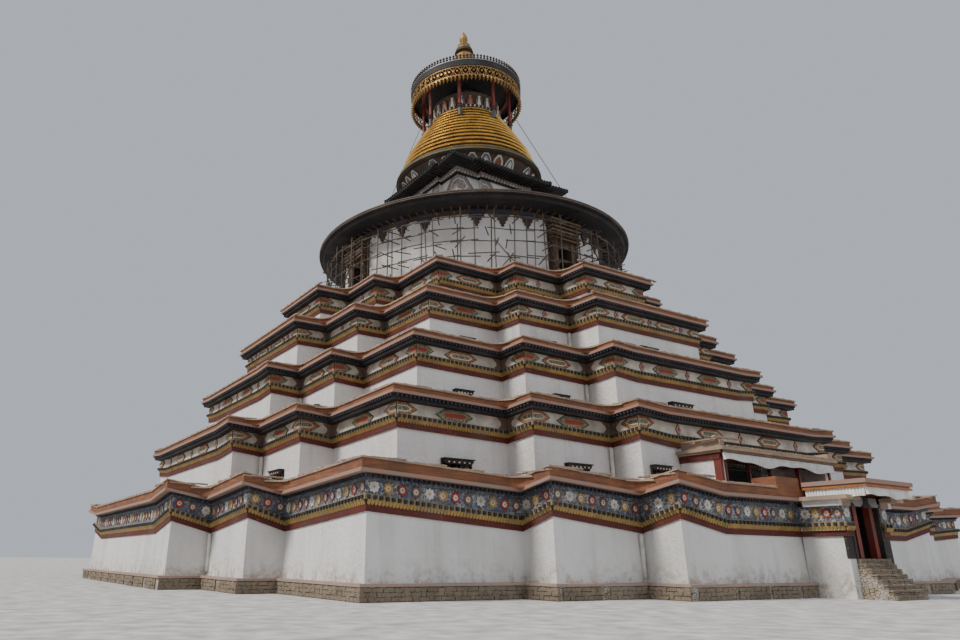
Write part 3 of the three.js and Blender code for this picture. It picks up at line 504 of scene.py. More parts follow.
# %% Stepped plan of a storey
QUARTER_TURNS = ((1, 0), (0, 1), (-1, 0), (0, -1))


def side_outline(storey, offset):
    """Corners of the front side from left to right: (x, y, share of the corner's lift)."""
    reach = [value + offset for value in storey["reach"]]
    half = [value + offset for value in storey["half"]]
    last = len(reach) - 1
    left = [(-reach[last], -reach[last], 1)]
    for step in range(last - 1, -1, -1):
        left.append((-half[step], -reach[step + 1], 0))
        left.append((-half[step], -reach[step], 1))
    left.append((-half[0] + storey["half"][0] * UPTURN_SHARE, -reach[0], 0))
    right = [(-x, y, rise) for x, y, rise in reversed(left[1:])]
    return left + right


def turned_point(x, y, quarter):
    c, s = QUARTER_TURNS[quarter]
    return x * c - y * s, x * s + y * c


def outline(storey, offset, height):
    """The whole plan as points in the model's metres, lifted at its outer corners."""
    points = []
    for quarter in range(4):
        for x, y, rise in side_outline(storey, offset):
            x_turned, y_turned = turned_point(x, y, quarter)
            points.append(place(x_turned, y_turned, height + storey["lift"] * rise))
    return points


print("corners and upturn points round a storey:", len(outline(STOREYS[0], 0, 0)))

# %% [markdown]
# A few short helpers save the same operator calls from being written again and again. An operator works
# on whatever is selected, so each helper clears the selection and picks its own pieces. Written out each
# time, one forgotten selection would spoil a piece that was made before.

# %% Helpers for naming, copying and joining


def coat(piece, *finishes):
    """Gives a piece its finishes, one slot each."""
    piece.data.materials.clear()
    for material in finishes:
        piece.data.materials.append(material)
    return piece


def keep(piece, finish, slot, *nodes):
    """Notes a finished piece with its finish, its slot and the frame nodes that it stands for."""
    if finish:
        coat(piece, finish)
    PIECES[piece.name] = (piece, slot, nodes)
    return piece


def named(name):
    piece = bpy.context.object
    piece.name = name
    piece.data.name = name
    return piece


def select_only(*pieces):
    deselect()
    for piece in pieces:
        piece.select_set(True)
    bpy.context.view_layer.objects.active = pieces[0]


def apply_places(*pieces):
    """Moves each piece's place, turn and scale into its mesh."""
    select_only(*pieces)
    bpy.ops.object.transform_apply()


def copy_of(piece, name, where=(0, 0, 0), quarter=0):
    """A copy with a mesh of its own, set at a place and turned by quarters about Z."""
    copy = bpy.data.objects.new(name, piece.data.copy())
    copy.location = where
    copy.rotation_euler = (0, 0, quarter * math.pi / 2)
    bpy.context.scene.collection.objects.link(copy)
    return copy


def join_all(pieces, name):
    select_only(*pieces)
    if len(pieces) > 1:
        bpy.ops.object.join()
    return named(name)


def join_placed(pieces, name):
    """Joins pieces that still have a place, turn or scale of their own."""
    apply_places(*pieces)
    return join_all(pieces, name)


def block(name, centre, size):
    """A box with its centre and size in metres of the model."""
    deselect()
    bpy.ops.mesh.primitive_cube_add(size=1, location=centre)
    piece = named(name)
    piece.scale = size
    bpy.ops.object.transform_apply()
    return piece


print("helpers for whole pieces ready")

# %% [markdown]
# Inside edit mode the same few steps come back too: choose faces or points by where they are, extrude,
# cut across, and close the work with clean outward faces. Choosing by place keeps working when a size
# changes. Choosing by the number of a face would not.

# %% Helpers for edit mode


def edit(piece):
    select_only(piece)
    bpy.ops.object.mode_set(mode="EDIT")


def pick(piece, test, kind="VERT"):
    """In edit mode, selects the vertices or faces whose place, or face normal, passes the test."""
    bpy.ops.mesh.select_mode(type=kind)
    bpy.ops.mesh.select_all(action="DESELECT")
    mesh = bmesh.from_edit_mesh(piece.data)
    chosen = 0
    for item in (mesh.verts if kind == "VERT" else mesh.faces):
        passed = test(item.co) if kind == "VERT" else test(item.calc_center_median(), item.normal)
        item.select_set(bool(passed))
        chosen += bool(passed)
    mesh.select_flush_mode()
    bmesh.update_edit_mesh(piece.data)
    return chosen


def settle(doubles=0.0002):
    """In edit mode: merges doubles, turns all faces outwards, and leaves edit mode."""
    bpy.ops.mesh.select_all(action="SELECT")
    bpy.ops.mesh.remove_doubles(threshold=doubles)
    bpy.ops.mesh.normals_make_consistent(inside=False)
    bpy.ops.object.mode_set(mode="OBJECT")


def extrude(*move):
    bpy.ops.mesh.extrude_region_move(TRANSFORM_OT_translate={"value": move})


def cut_across(height):
    """In edit mode, cuts the whole mesh at a height."""
    bpy.ops.mesh.select_all(action="SELECT")
    bpy.ops.mesh.bisect(plane_co=(0, 0, height), plane_no=(0, 0, 1))


print("helpers for edit mode ready")

# %% [markdown]
# A moulding is one section carried round the building. A carpenter cuts a mitre at each corner, and
# that is what is done here: a plane the size of the section stands in the first corner's mitre, it is
# extruded along each wall, and it is mirrored where the mitre turns the other way. A curve with a bevel
# would do it too, but it squeezes the section at the corners that lift.

# %% Mouldings round a storey


def moulding(name, storey, inner, outer, low, high, flare=0.0):
    """A ring between two offsets and two heights. flare moves its upper outer edge further out."""
    at_inner = outline(storey, inner, low)
    at_outer = outline(storey, outer, low)
    mitres = [outer_point - inner_point for outer_point, inner_point in zip(at_outer, at_inner)]
    thickness = m(outer - inner) * math.sqrt(2)
    middle = (at_inner[0] + at_outer[0]) / 2 + Vector((0, 0, m(high - low) / 2))
    deselect()
    bpy.ops.mesh.primitive_plane_add(size=1, location=middle, rotation=(math.pi / 2, 0, math.radians(225)))
    piece = named(name)
    piece.scale = (thickness, m(high - low), 1)
    bpy.ops.object.transform_apply()
    bpy.ops.object.mode_set(mode="EDIT")
    if flare:
        reach = abs(at_outer[0].x) - 1e-4
        pick(piece, lambda co: abs(co.x) > reach and co.z > middle.z)
        bpy.ops.transform.translate(value=(-m(flare), -m(flare), 0))
        bpy.ops.mesh.select_all(action="SELECT")
    count = len(at_inner)
    for index in range(count):
        here, after = at_inner[index], at_inner[(index + 1) % count]
        before, then = mitres[index], mitres[(index + 1) % count]
        extrude(*(after - here))
        mirror_x = -1 if before.x * then.x < 0 else 1
        mirror_y = -1 if before.y * then.y < 0 else 1
        if mirror_x < 0 or mirror_y < 0:
            bpy.ops.transform.resize(value=(mirror_x, mirror_y, 1), center_override=after)
    start = at_outer[0]
    reach = m(outer - inner) * 2 + m(abs(flare)) * 2
    pick(piece, lambda centre, normal: abs(centre.x - start.x) < reach and abs(centre.y - start.y) < reach
         and abs(abs(normal.x) - abs(normal.y)) < 0.01 and abs(normal.z) < 0.01, "FACE")
    bpy.ops.mesh.delete(type="ONLY_FACE")
    settle()
    return piece


print("moulding helper ready")

# %% [markdown]
# The ground storey's mouldings stop at the gate, which is built out through them. Each ring is cut at
# two upright planes, the part between them goes, and the two open ends are filled. Making the ring in
# two halves would need its corners to be worked out twice.

# %% Rings that stop at the gate


def without_gate(piece, left, right, front=-24.0):
    """Cuts a ring where the gate stands, and closes its two ends."""
    edit(piece)
    for x in (left, right):
        bpy.ops.mesh.select_all(action="SELECT")
        bpy.ops.mesh.bisect(plane_co=(m(x), 0, 0), plane_no=(1, 0, 0))
    pick(piece, lambda centre, normal: m(left) < centre.x < m(right) and centre.y < m(front), "FACE")
    bpy.ops.mesh.delete(type="FACE")
    pick(piece, lambda co: co.y < m(front) and min(abs(co.x - m(left)), abs(co.x - m(right))) < 1e-4)
    bpy.ops.mesh.fill_holes(sides=8)
    settle()


print("gate cut ready")

# %% [markdown]
# The cornice reads from below as four bands: a maroon fillet, a flaring band that carries petals, a dark
# shelf with dentils, and the painted frieze. Real ones are bricks and boards under plaster. Four
# mouldings give the same steps, and each can take its own paint. One moulding with painted stripes
# would have no shadow lines.

# %% Cornice bands, copings and their finishes
BANDS = {"maroon": 0.23, "petals": 0.18, "shelf": 0.19}
CORNER_RISE = (0.17, 0.05, 0.04, 0.0, 0.0)
CORNICE_DEPTH = 0.6
ROOT = -0.1
MAROON_REACH = 0.10
PETAL_BED = {"reach": MAROON_REACH - 0.03, "flare": 0.08}
SHELF_REACH = 0.21
FRIEZE_REACH = 0.06
RAFTER_REACH = (0.15, 0.42, 0.42, 0.42, 0.42)
RAFTER_BED_HEIGHT = 0.245
EAVE_REACH = 0.6
COPING_BED = {"inner": 0.11, "outer": 0.56, "sunk": 0.01, "height": 0.045}
GATE_SPAN = (-1.68, 1.28)
GATE_BLOCKS_SPAN = (-3.9, 3.5)


def levels(storey):
    """Heights of a cornice: its foot, where its bands meet, its soffit, and the middle of its petals."""
    foot = storey["frieze"] - CORNICE_DEPTH
    petals, shelf = foot + BANDS["maroon"], storey["frieze"] - BANDS["shelf"]
    return {"foot": foot, "petals": petals, "shelf": shelf, "soffit": storey["frieze"] + storey["band"],
            "petal_middle": (petals + shelf) / 2}


def lower_bands(index):
    """A storey whose outer corners rise as its lower bands do, a little more than its eave."""
    return {**STOREYS[index], "lift": STOREYS[index]["lift"] + CORNER_RISE[index]}


def dress_storey(index, storey):
    tier, at = f"tier_{index + 1}", levels(storey)
    low_frieze, soffit = storey["frieze"] - 0.1, at["soffit"] - 0.02
    blue = index == 0
    bands = [
        ("maroon_band", MAROON_REACH, at["foot"], at["petals"], 0.0, MAROON),
        ("petal_bed", PETAL_BED["reach"], at["petals"], at["shelf"], PETAL_BED["flare"], DENTIL_DARK),
        ("dentil_shelf", SHELF_REACH, at["shelf"], storey["frieze"], 0.0, SHELF_TAN),
        ("frieze", FRIEZE_REACH, low_frieze, soffit, 0.0, FRIEZE_BLUE if blue else FRIEZE_CREAM),
    ]
    for name, reach, low, high, flare, finish in bands:
        plan = storey if name == "frieze" else lower_bands(index)
        band = moulding(f"{tier}_{name}", plan, ROOT, reach, low, high, flare)
        if index == 0:
            without_gate(band, *GATE_SPAN)
        keep(band, finish, "painted_cornice", f"{tier}_cornice")
    bed = moulding(f"{tier}_rafter_bed", storey, 0.0, RAFTER_REACH[index] + 0.015, at["soffit"] - 0.022,
                   at["soffit"] + RAFTER_BED_HEIGHT)
    if index == 0:
        without_gate(bed, *GATE_SPAN)
    # On the ground storey the bed is the blue frieze in painted shade, where the eave's shadow falls.
    keep(bed, FRIEZE_IN_PAINTED_SHADE if blue else RAFTER_BLACK, "dark_timber")


def lay_coping_bed(index, storey):
    """The level bed of clay that the coping stones lie in."""
    top = terrace_height(storey) + PARAPET_HEIGHTS[index]
    coping = moulding(f"tier_{index + 1}_coping", storey, COPING_BED["inner"], COPING_BED["outer"],
                      top - COPING_BED["sunk"], top + COPING_BED["height"])
    if index == 0:
        without_gate(coping, *GATE_BLOCKS_SPAN)
    keep(coping, COPING, "slab")


for index, storey in enumerate(STOREYS):
    dress_storey(index, storey)
    lay_coping_bed(index, storey)
print("mouldings:", len(PIECES))

# %% [markdown]
# The ground storey's roof slab is made again, because its eave rises to the corners while the terrace
# behind it stays level. It is two rings, one that rises and one that doesn't, joined into one piece.

# %% Roof slab of the ground storey


def ground_storey_roof():
    """The roof slab of the ground storey: a rising eave and a level floor behind it."""
    storey = STOREYS[0]
    top = terrace_height(storey)
    low = top - SLAB_THICKNESS
    eave = moulding("eave", storey, -0.3, EAVE_REACH, low, top)
    without_gate(eave, *GATE_SPAN)
    terrace = moulding("floor", {**storey, "lift": 0.0}, -3.55, -0.2, low, top)
    return join_all([eave, terrace], "tier_1_eave_and_floor")


roof = keep(ground_storey_roof(), SLAB, "slab", "tier_1_roof_slab")
print("faces of the eave and floor:", len(roof.data.polygons))

# %% [markdown]
# Rafter ends, petals and dentils stand in rows of hundreds. Each is modelled once from a cube and then
# repeated by an Array modifier along every stretch of one side, and that side is copied round the
# building. Placing them one by one gives the same picture and takes a minute instead of a second.

# %% Rows along the walls


def small_block(name, width, depth, height, taper=(1.0, 1.0)):
    """A block whose back lies in the plane y = 0 and that points towards -y, with a drawn-in nose."""
    piece = block(name, (0, -m(depth) / 2, 0), (m(width), m(depth), m(height)))
    bpy.ops.object.mode_set(mode="EDIT")
    pick(piece, lambda co: co.y < -m(depth) / 2)
    bpy.ops.transform.resize(value=(taper[0], 1, taper[1]), center_override=(0, -m(depth), 0))
    bpy.ops.object.mode_set(mode="OBJECT")
    return piece


def closed_side(storey, offset):
    """The corners of the front side, and the first one of the next side."""
    corners = side_outline(storey, offset)
    return corners + [(*turned_point(*corners[0][:2], 1), corners[0][2])]


def stretches(storey, offset, height):
    """Stretches of wall on the front side: where each starts and where it ends."""
    points = [place(x, y, height + storey["lift"] * rise) for x, y, rise in closed_side(storey, offset)]
    return list(zip(points, points[1:]))


def facing(start, end):
    """Turn about Z that brings a piece made for the front wall onto the wall from start to end."""
    along = end - start
    return math.atan2(along.y, along.x)


def row(piece, name, start, end, pitch):
    """An array of the piece from start to end, evenly spread at about the given pitch."""
    along = end - start
    length = math.hypot(along.x, along.y)
    count = max(1, round(length / m(pitch)))
    copy = copy_of(piece, name)
    copy.location = (length / count / 2, 0, along.z / count / 2)
    apply_places(copy)
    array = copy.modifiers.new("row", "ARRAY")
    array.use_relative_offset = False
    array.use_constant_offset = True
    array.count = count
    array.constant_offset_displace = (length / count, 0, along.z / count)
    bpy.ops.object.modifier_apply(modifier=array.name)
    copy.location = start
    copy.rotation_euler = (0, 0, facing(start, end))
    bpy.ops.object.transform_apply()
    return copy


def round_the_building(side, name):
    """Copies one side's row on to the other three sides."""
    sides = [side] + [copy_of(side, name, quarter=quarter) for quarter in range(1, 4)]
    return join_placed(sides, name)


def wall_rows(piece, name, storey, offset, height, pitch):
    rows = [row(piece, name, start, end, pitch) for start, end in stretches(storey, offset, height)]
    whole = round_the_building(join_all(rows, name), name)
    bpy.data.objects.remove(piece)
    return whole


def clear_of_gate(piece, left, right, front=-24.5):
    """Takes out the items of a row that would stand in the gateway."""
    edit(piece)
    pick(piece, lambda co: m(left) < co.x < m(right) and co.y < m(front))
    bpy.ops.mesh.select_linked()
    bpy.ops.mesh.delete(type="VERT")
    bpy.ops.object.mode_set(mode="OBJECT")


print("row helpers ready")

# %% [markdown]
# Three small things run along each cornice: rafter ends, dentils and petals. A rafter end and a dentil
# are blocks with a drawn-in nose. A petal is a block with a narrow foot and a belly. Its shape catches
# the light, which a flat tooth would not.

# %% Rafter ends, petals and dentils
RAFTER = {"width": 0.11, "depth": 0.13, "height": 0.11, "pitch": 0.22, "above": 0.16}
PETAL = {"width": 0.135, "depth": 0.08, "height": 0.18, "pitch": 0.15}
DENTIL = {"width": 0.155, "depth": 0.10, "height": 0.155, "pitch": 0.26, "above": 0.085}


def petal_shape():
    """A petal: a block with its foot drawn in and its belly pushed out."""
    depth, height, width = m(PETAL["depth"]), m(PETAL["height"]), m(PETAL["width"])
    piece = block("petal", (0, -depth / 2, 0), (width, depth, height))
    bpy.ops.object.mode_set(mode="EDIT")
    cut_across(-height * 0.12)
    pick(piece, lambda co: co.z < -height * 0.4)
    bpy.ops.transform.resize(value=(0.6, 0.6, 1), center_override=(0, 0, -height / 2))
    pick(piece, lambda co: co.z > height * 0.4 and co.y < -depth / 2)
    bpy.ops.transform.translate(value=(0, -m(0.05), 0))
    bpy.ops.object.mode_set(mode="OBJECT")
    return piece


def dentil_shape():
    return small_block("dentil", DENTIL["width"], DENTIL["depth"], DENTIL["height"], (0.8, 0.8))


def add_rows(index, storey):
    tier, at, lower = f"tier_{index + 1}", levels(storey), lower_bands(index)
    rafter = small_block("rafter", RAFTER["width"], RAFTER["depth"], RAFTER["height"], (0.85, 0.8))
    rafters = wall_rows(rafter, f"{tier}_rafter_ends", storey, RAFTER_REACH[index] + 0.01,
                        at["soffit"] + RAFTER["above"], RAFTER["pitch"])
    dentils = wall_rows(dentil_shape(), f"{tier}_dentils", lower, SHELF_REACH - 0.03,
                        at["shelf"] + DENTIL["above"], DENTIL["pitch"])
    petals = wall_rows(petal_shape(), f"{tier}_petals", lower, PETAL_BED["reach"], at["petal_middle"],
                       PETAL["pitch"])
    if index == 0:
        for piece in (dentils, petals):
            clear_of_gate(piece, *GATE_SPAN)
        clear_of_gate(rafters, GATE_SPAN[0] - 0.9, GATE_SPAN[1] + 0.9)
    keep(rafters, RAFTER_NAVY, "dark_timber")
    keep(dentils, DENTIL_DARK, "painted_cornice", f"{tier}_cornice")
    keep(petals, PETAL_GOLD, "painted_cornice", f"{tier}_cornice")
    return [len(piece.data.polygons) for piece in (rafters, dentils, petals)]


for index, storey in enumerate(STOREYS):
    print("storey", index + 1, "faces in rafters, dentils, petals:", add_rows(index, storey))

# %% [markdown]
# The ground storey's frieze is a blue ground full of scrolls, with a round flower every sixty centimetres.
# The scrolls are in the paint. The flowers are modelled: a disc whose rim is pulled in at every second
# point, raised, with an eye set in it. Painted flowers alone would look flat in raking light.

# %% Flowers of the ground storey
FLOWER = {"radius": 0.235, "thickness": 0.035, "pitch": 0.62, "points": 16, "notch": 0.74}
FLOWER_PAINTS = (PAINT_WHITE, PAINT_OCHRE, JEWEL_RED, PAINT_PURPLE)
FLOWER_RING = len(FLOWER_PAINTS)
FLOWER_EYE = FLOWER_RING + 1


def flower_shape():
    deselect()
    radius, thick = m(FLOWER["radius"]), m(FLOWER["thickness"])
    bpy.ops.mesh.primitive_circle_add(vertices=FLOWER["points"], radius=radius, fill_type="NGON",
                                      rotation=(math.pi / 2, 0, 0))
    piece = named("flower")
    bpy.ops.object.transform_apply()
    bpy.ops.object.mode_set(mode="EDIT")
    step = 2 * math.pi / FLOWER["points"]
    pick(piece, lambda co: round(math.atan2(co.z, co.x) / step) % 2)
    bpy.ops.transform.resize(value=(FLOWER["notch"], 1, FLOWER["notch"]), center_override=(0, 0, 0))
    bpy.ops.mesh.select_all(action="SELECT")
    extrude(0, -thick, 0)
    pick(piece, lambda centre, normal: centre.y < -thick * 0.9, "FACE")
    bpy.ops.mesh.inset(thickness=radius * 0.30)
    bpy.ops.transform.translate(value=(0, thick * 0.5, 0))
    bpy.ops.mesh.inset(thickness=radius * 0.24)
    bpy.ops.transform.translate(value=(0, -thick * 0.5, 0))
    settle()
    coat(piece, *FLOWER_PAINTS, FRIEZE_CREAM, PAINT_ORANGE)
    for face in piece.data.polygons:
        middle = math.hypot(face.center.x, face.center.z)
        if middle < radius * 0.25:
            face.material_index = FLOWER_EYE
        elif middle < radius * 0.52:
            face.material_index = FLOWER_RING
    return piece


def paint_in_turn(piece, faces_each):
    """Gives each repeated flower the next of the four paints, and leaves its middle as it is."""
    for face in piece.data.polygons:
        if face.material_index < len(FLOWER_PAINTS):
            face.material_index = (face.index // faces_each) % len(FLOWER_PAINTS)


flower = flower_shape()
flower_faces = len(flower.data.polygons)
frieze_middle = STOREYS[0]["frieze"] + STOREYS[0]["band"] / 2 + 0.03
risen = {**STOREYS[0], "lift": STOREYS[0]["lift"] + CORNER_RISE[0] / 2}
flowers = wall_rows(flower, "tier_1_flowers", risen, FRIEZE_REACH, frieze_middle, FLOWER["pitch"])
paint_in_turn(flowers, flower_faces)
clear_of_gate(flowers, GATE_SPAN[0] - 0.25, GATE_SPAN[1] + 0.25)
keep(flowers, None, "painted_cornice", "tier_1_cornice")
print("flowers:", len(flowers.data.polygons) // flower_faces)

# %% [markdown]
# The motifs of the upper friezes are pointed medallions, small flame jewels and dark hourglasses. Each
# is a thin raised plate. It starts as a circle of few points, is extruded, and is inset once for each
# border, a little further out each time. Flat paint would lose the borders from the side.

# %% Raised plates with borders
MEDALLION = {"length": 1.05, "height": 0.34, "thickness": 0.035}
JEWEL = {"length": 0.20, "height": 0.29, "thickness": 0.035}
HOURGLASS = {"length": 0.62, "height": 0.30, "waist": 0.62, "thickness": 0.03}


def plate(name, corners, length, height, thickness, insets):
    """A raised plate with nested borders. Each inset is (share of the height, rise)."""
    deselect()
    bpy.ops.mesh.primitive_circle_add(vertices=corners, radius=1, fill_type="NGON",
                                      rotation=(math.pi / 2, math.pi / 2, 0))
    piece = named(name)
    bpy.ops.object.transform_apply()
    piece.scale = (m(length), 1, m(height))
    bpy.ops.object.transform_apply()
    bpy.ops.object.mode_set(mode="EDIT")
    bpy.ops.mesh.select_all(action="SELECT")
    extrude(0, -m(thickness), 0)
    depths = [m(thickness)]
    for share, rise in insets:
        bpy.ops.mesh.inset(thickness=m(height) * share)
        bpy.ops.transform.translate(value=(0, -m(rise), 0))
        depths.append(depths[-1] + m(rise))
    piece["depths"] = depths
    return piece


def paint_by_border(piece, *finishes):
    """Paints the borders of a plate from its rim to its middle, told apart by how far each one stands out."""
    coat(piece, *finishes)
    for face in piece.data.polygons:
        level = sum(-face.center.y > depth - 1e-5 for depth in piece["depths"])
        face.material_index = min(max(level - 1, 0), len(finishes) - 1)
    return piece


def medallion_shape(name, rim, field, border, heart):
    piece = plate(name, 6, MEDALLION["length"], MEDALLION["height"], MEDALLION["thickness"],
                  ((0.11, 0.006), (0.34, 0.006), (0.13, 0.012)))
    settle(0.00005)
    return paint_by_border(piece, rim, field, border, heart)


def jewel_shape():
    piece = plate("jewel", 4, JEWEL["length"], JEWEL["height"], JEWEL["thickness"],
                  ((0.16, 0.006), (0.10, 0.006), (0.06, 0.012)))
    settle(0.00005)
    return paint_by_border(piece, JEWEL_RED, PAINT_WHITE, UMBER, JEWEL_RED)


def hourglass_shape():
    piece = small_block("hourglass", HOURGLASS["length"] * 2, HOURGLASS["thickness"], HOURGLASS["height"] * 2)
    bpy.ops.object.mode_set(mode="EDIT")
    for height in (-0.35, 0.0, 0.35):
        cut_across(m(HOURGLASS["height"]) * height)
    for reach, share in ((0.4, HOURGLASS["waist"]), (0.1, 0.85)):
        pick(piece, lambda co: abs(co.z) < m(HOURGLASS["height"]) * reach)
        bpy.ops.transform.resize(value=(share, 1, 1), center_override=(0, 0, 0))
    settle()
    return coat(piece, BROWN_CLOTH)


print("plates ready")

# %% [markdown]
# A motif can sit in the middle of a wall or fold round a corner. For a corner it is cut in two, and each
# half lies on its own wall. So the flat faces of one side are listed first, each with its two ends. A
# plate bent over the corner would need its bend made again at each storey's slope.

# %% Halves, wall faces and places along them


def half_of(piece, name, keep_right):
    """One half of a motif, cut at its middle and closed."""
    half = copy_of(piece, name)
    edit(half)
    bpy.ops.mesh.select_all(action="SELECT")
    bpy.ops.mesh.bisect(plane_co=(0, 0, 0), plane_no=(1, 0, 0), use_fill=True,
                        clear_inner=keep_right, clear_outer=not keep_right)
    settle()
    return half


def wall_faces(storey, offset, height):
    """The flat faces of the front side: their points from left to right, and whether each end juts out."""
    corners = closed_side(storey, offset)
    points = [place(x, y, height + storey["lift"] * rise) for x, y, rise in corners]
    faces = []
    first = 0
    for index in range(1, len(points)):
        last = index == len(points) - 1
        along = points[index] - points[index - 1]
        ahead = None if last else points[index + 1] - points[index]
        turns = last or abs(along.x * ahead.y - along.y * ahead.x) > 1e-9
        if turns:
            faces.append((points[first:index + 1], corners[first][2] > 0.5, corners[index][2] > 0.5))
            first = index
    return faces


def point_along(points, distance):
    """The point at a distance from the first one."""
    for start, end in zip(points, points[1:]):
        length = math.hypot(end.x - start.x, end.y - start.y)
        if distance <= length + 1e-6:
            return start.lerp(end, distance / length)
        distance -= length
    return points[-1]


def hang(piece, name, points, distance):
    copy = copy_of(piece, name)
    copy.location = point_along(points, distance)
    copy.rotation_euler = (0, 0, facing(points[0], points[-1]))
    return copy


print("wall faces of the second storey's front:", len(wall_faces(STOREYS[1], 0.0, 0.0)))

# %% [markdown]
# On the building a medallion folds round every outward corner and an hourglass sits in every inward one.
# Long walls have more medallions with jewels between them, and a short wall has one or none. One side
# is filled by the length of its walls, and the whole side is then turned round the building.

# %% Motifs of the upper friezes
LONG_WALL, MIDDLE_WALL, SHORT_WALL = 8.0, 4.2, 2.4


def motifs_for(spread, jewel, near, far):
    """What hangs between the corners of a wall, as (share of its length, motif)."""
    if spread > LONG_WALL:
        return ((0.18, jewel), (0.34, near), (0.5, jewel), (0.66, near), (0.82, jewel))
    if spread > MIDDLE_WALL:
        return ((0.5, far),)
    return ((0.5, jewel),) if spread > SHORT_WALL else ()


def add_motifs(index, storey):
    green = medallion_shape("green_medallion", UMBER, BROCADE_GREEN, PAINT_TAN, JEWEL_RED)
    red = medallion_shape("red_medallion", UMBER, BROCADE_RED, PAINT_WHITE, BROCADE_GREEN)
    if index % 2:
        green, red = red, green
    jewel, hourglass = jewel_shape(), hourglass_shape()
    corner = {side: half_of(green, "corner_medallion", side) for side in (True, False)}
    waist = {side: half_of(hourglass, "corner_hourglass", side) for side in (True, False)}
    middle = storey["frieze"] + storey["band"] / 2 - 0.01
    hung = []
    for points, juts_first, juts_last in wall_faces(storey, FRIEZE_REACH, middle):
        length = math.hypot(points[-1].x - points[0].x, points[-1].y - points[0].y)
        hung.append(hang((corner if juts_first else waist)[True], "motif", points, 0.0))
        hung.append(hang((corner if juts_last else waist)[False], "motif", points, length))
        motifs = motifs_for(length / m(1.0), jewel, green, red)
        hung += [hang(motif, "motif", points, length * share) for share, motif in motifs]
    name = f"tier_{index + 1}_motifs"
    whole = round_the_building(join_placed(hung, name), name)
    for pattern in (green, red, jewel, hourglass, *corner.values(), *waist.values()):
        bpy.data.objects.remove(pattern)
    keep(whole, None, "painted_cornice", f"tier_{index + 1}_cornice")
    return len(hung) * len(QUARTER_TURNS)


for index, storey in enumerate(STOREYS[1:], start=1):
    print("storey", index + 1, "motifs:", add_motifs(index, storey))

# %% [markdown]
# The terrace windows are low slots with a flaring timber hood, because the cloister behind them needs
# air more than light. Each is a frame and a hood that is wider at its top. The frame is a block whose
# face is inset and pushed through.

# %% Windows and their hoods
WINDOW_HEIGHT = 0.65
WINDOW_ROWS = (
    {"storey": 1, "head": 1.49, "corner": 1.65, "flank": 1.5, "bay": (-6.5, 6.5), "bay_width": 1.2},
    {"storey": 2, "head": 1.45, "corner": 1.15, "flank": 1.1, "bay": (-1.0,), "bay_width": 1.8},
    {"storey": 3, "head": 1.37, "corner": 1.1, "flank": 1.0, "bay": (-0.5,), "bay_width": 1.5},
)
FRAME = {"depth": 0.16, "rim": 0.06}
HOOD = {"height": 0.20, "reach": 0.20, "flare": 1.14, "board": 0.045, "drop": 0.21, "share": 0.84}
BAR_SHARES = (-0.25, 0.0, 0.25)
DOTS = {"first": -2, "last": 2, "pitch": 0.17}


def window_frame(width):
    depth, height = m(FRAME["depth"]), m(WINDOW_HEIGHT)
    piece = block("window_frame", (0, depth * 0.1, -height / 2), (m(width), depth, height))
    bpy.ops.object.mode_set(mode="EDIT")
    pick(piece, lambda centre, normal: abs(normal.y) > 0.9, "FACE")
    bpy.ops.mesh.inset(thickness=m(FRAME["rim"]))
    bpy.ops.mesh.bridge_edge_loops()
    settle()
    return piece


def window_bars(width):
    bars = []
    for share in BAR_SHARES:
        bar = small_block("window_bar", 0.05, 0.05, WINDOW_HEIGHT - 0.08)
        bar.location = (m(width) * share, 0, -m(WINDOW_HEIGHT) / 2)
        bars.append(bar)
    return bars


def window_hood(width):
    height, reach = m(HOOD["height"]), m(HOOD["reach"])
    piece = block("window_hood", (0, -reach / 2, height / 2), (m(width) * HOOD["share"], reach, height))
    bpy.ops.object.mode_set(mode="EDIT")
    cut_across(height * 0.55)
    pick(piece, lambda co: co.z > height * 0.5)
    bpy.ops.transform.resize(value=(HOOD["flare"], 1.25, 1), center_override=(0, 0, height))
    pick(piece, lambda centre, normal: normal.z > 0.9, "FACE")
    extrude(0, 0, 0)
    bpy.ops.transform.resize(value=(1.08, 1.2, 1), center_override=(0, 0, height))
    extrude(0, 0, m(HOOD["board"]))
    settle()
    return piece


def hood_dots(width):
    """White dots painted along the face of the hood."""
    dots = []
    for step in range(DOTS["first"], DOTS["last"] + 1):
        dot = coat(small_block("hood_dot", 0.08, 0.04, 0.06), PAINT_WHITE)
        dot.location = (step * m(width) * DOTS["pitch"], -m(HOOD["reach"]) * 1.05, m(HOOD["height"]) * 0.4)
        dots.append(dot)
    return dots


def window_unit(width):
    hood, dots = window_hood(width), hood_dots(width)
    for piece in (hood, *dots):
        piece.location.z -= m(HOOD["drop"])
    dark = [window_frame(width), hood, *window_bars(width)]
    for piece in dark:
        coat(piece, DARK_TIMBER)
    return join_placed([*dark, *dots], "window")


print("window parts ready")

# %% [markdown]
# The windows sit low on the walls above each terrace, a pair on every flank, and more on the corners and
# the bay at the front and the back. A window of each width is made once and copied to its places, which
# are worked out from the plan, so that it meets the hole in the wall.

# %% Windows set in the walls
ALL_SIDES = (0, 1, 2, 3)
FRONT_AND_BACK = (0, 2)
WINDOW_FORWARD = 0.05


def window_spots(group):
    """Where the windows of a storey are: along its wall, how far out, how wide, and on which sides."""
    storey = STOREYS[group["storey"]]
    reach, half = storey["reach"], storey["half"]
    flank, corner = (half[0] + half[1]) / 2, (half[1] + reach[2]) / 2
    spots = [(hand * flank, reach[1], group["flank"], ALL_SIDES) for hand in (-1, 1)]
    spots += [(hand * corner, reach[2], group["corner"], FRONT_AND_BACK) for hand in (-1, 1)]
    return spots + [(x, reach[0], group["bay_width"], FRONT_AND_BACK) for x in group["bay"]]


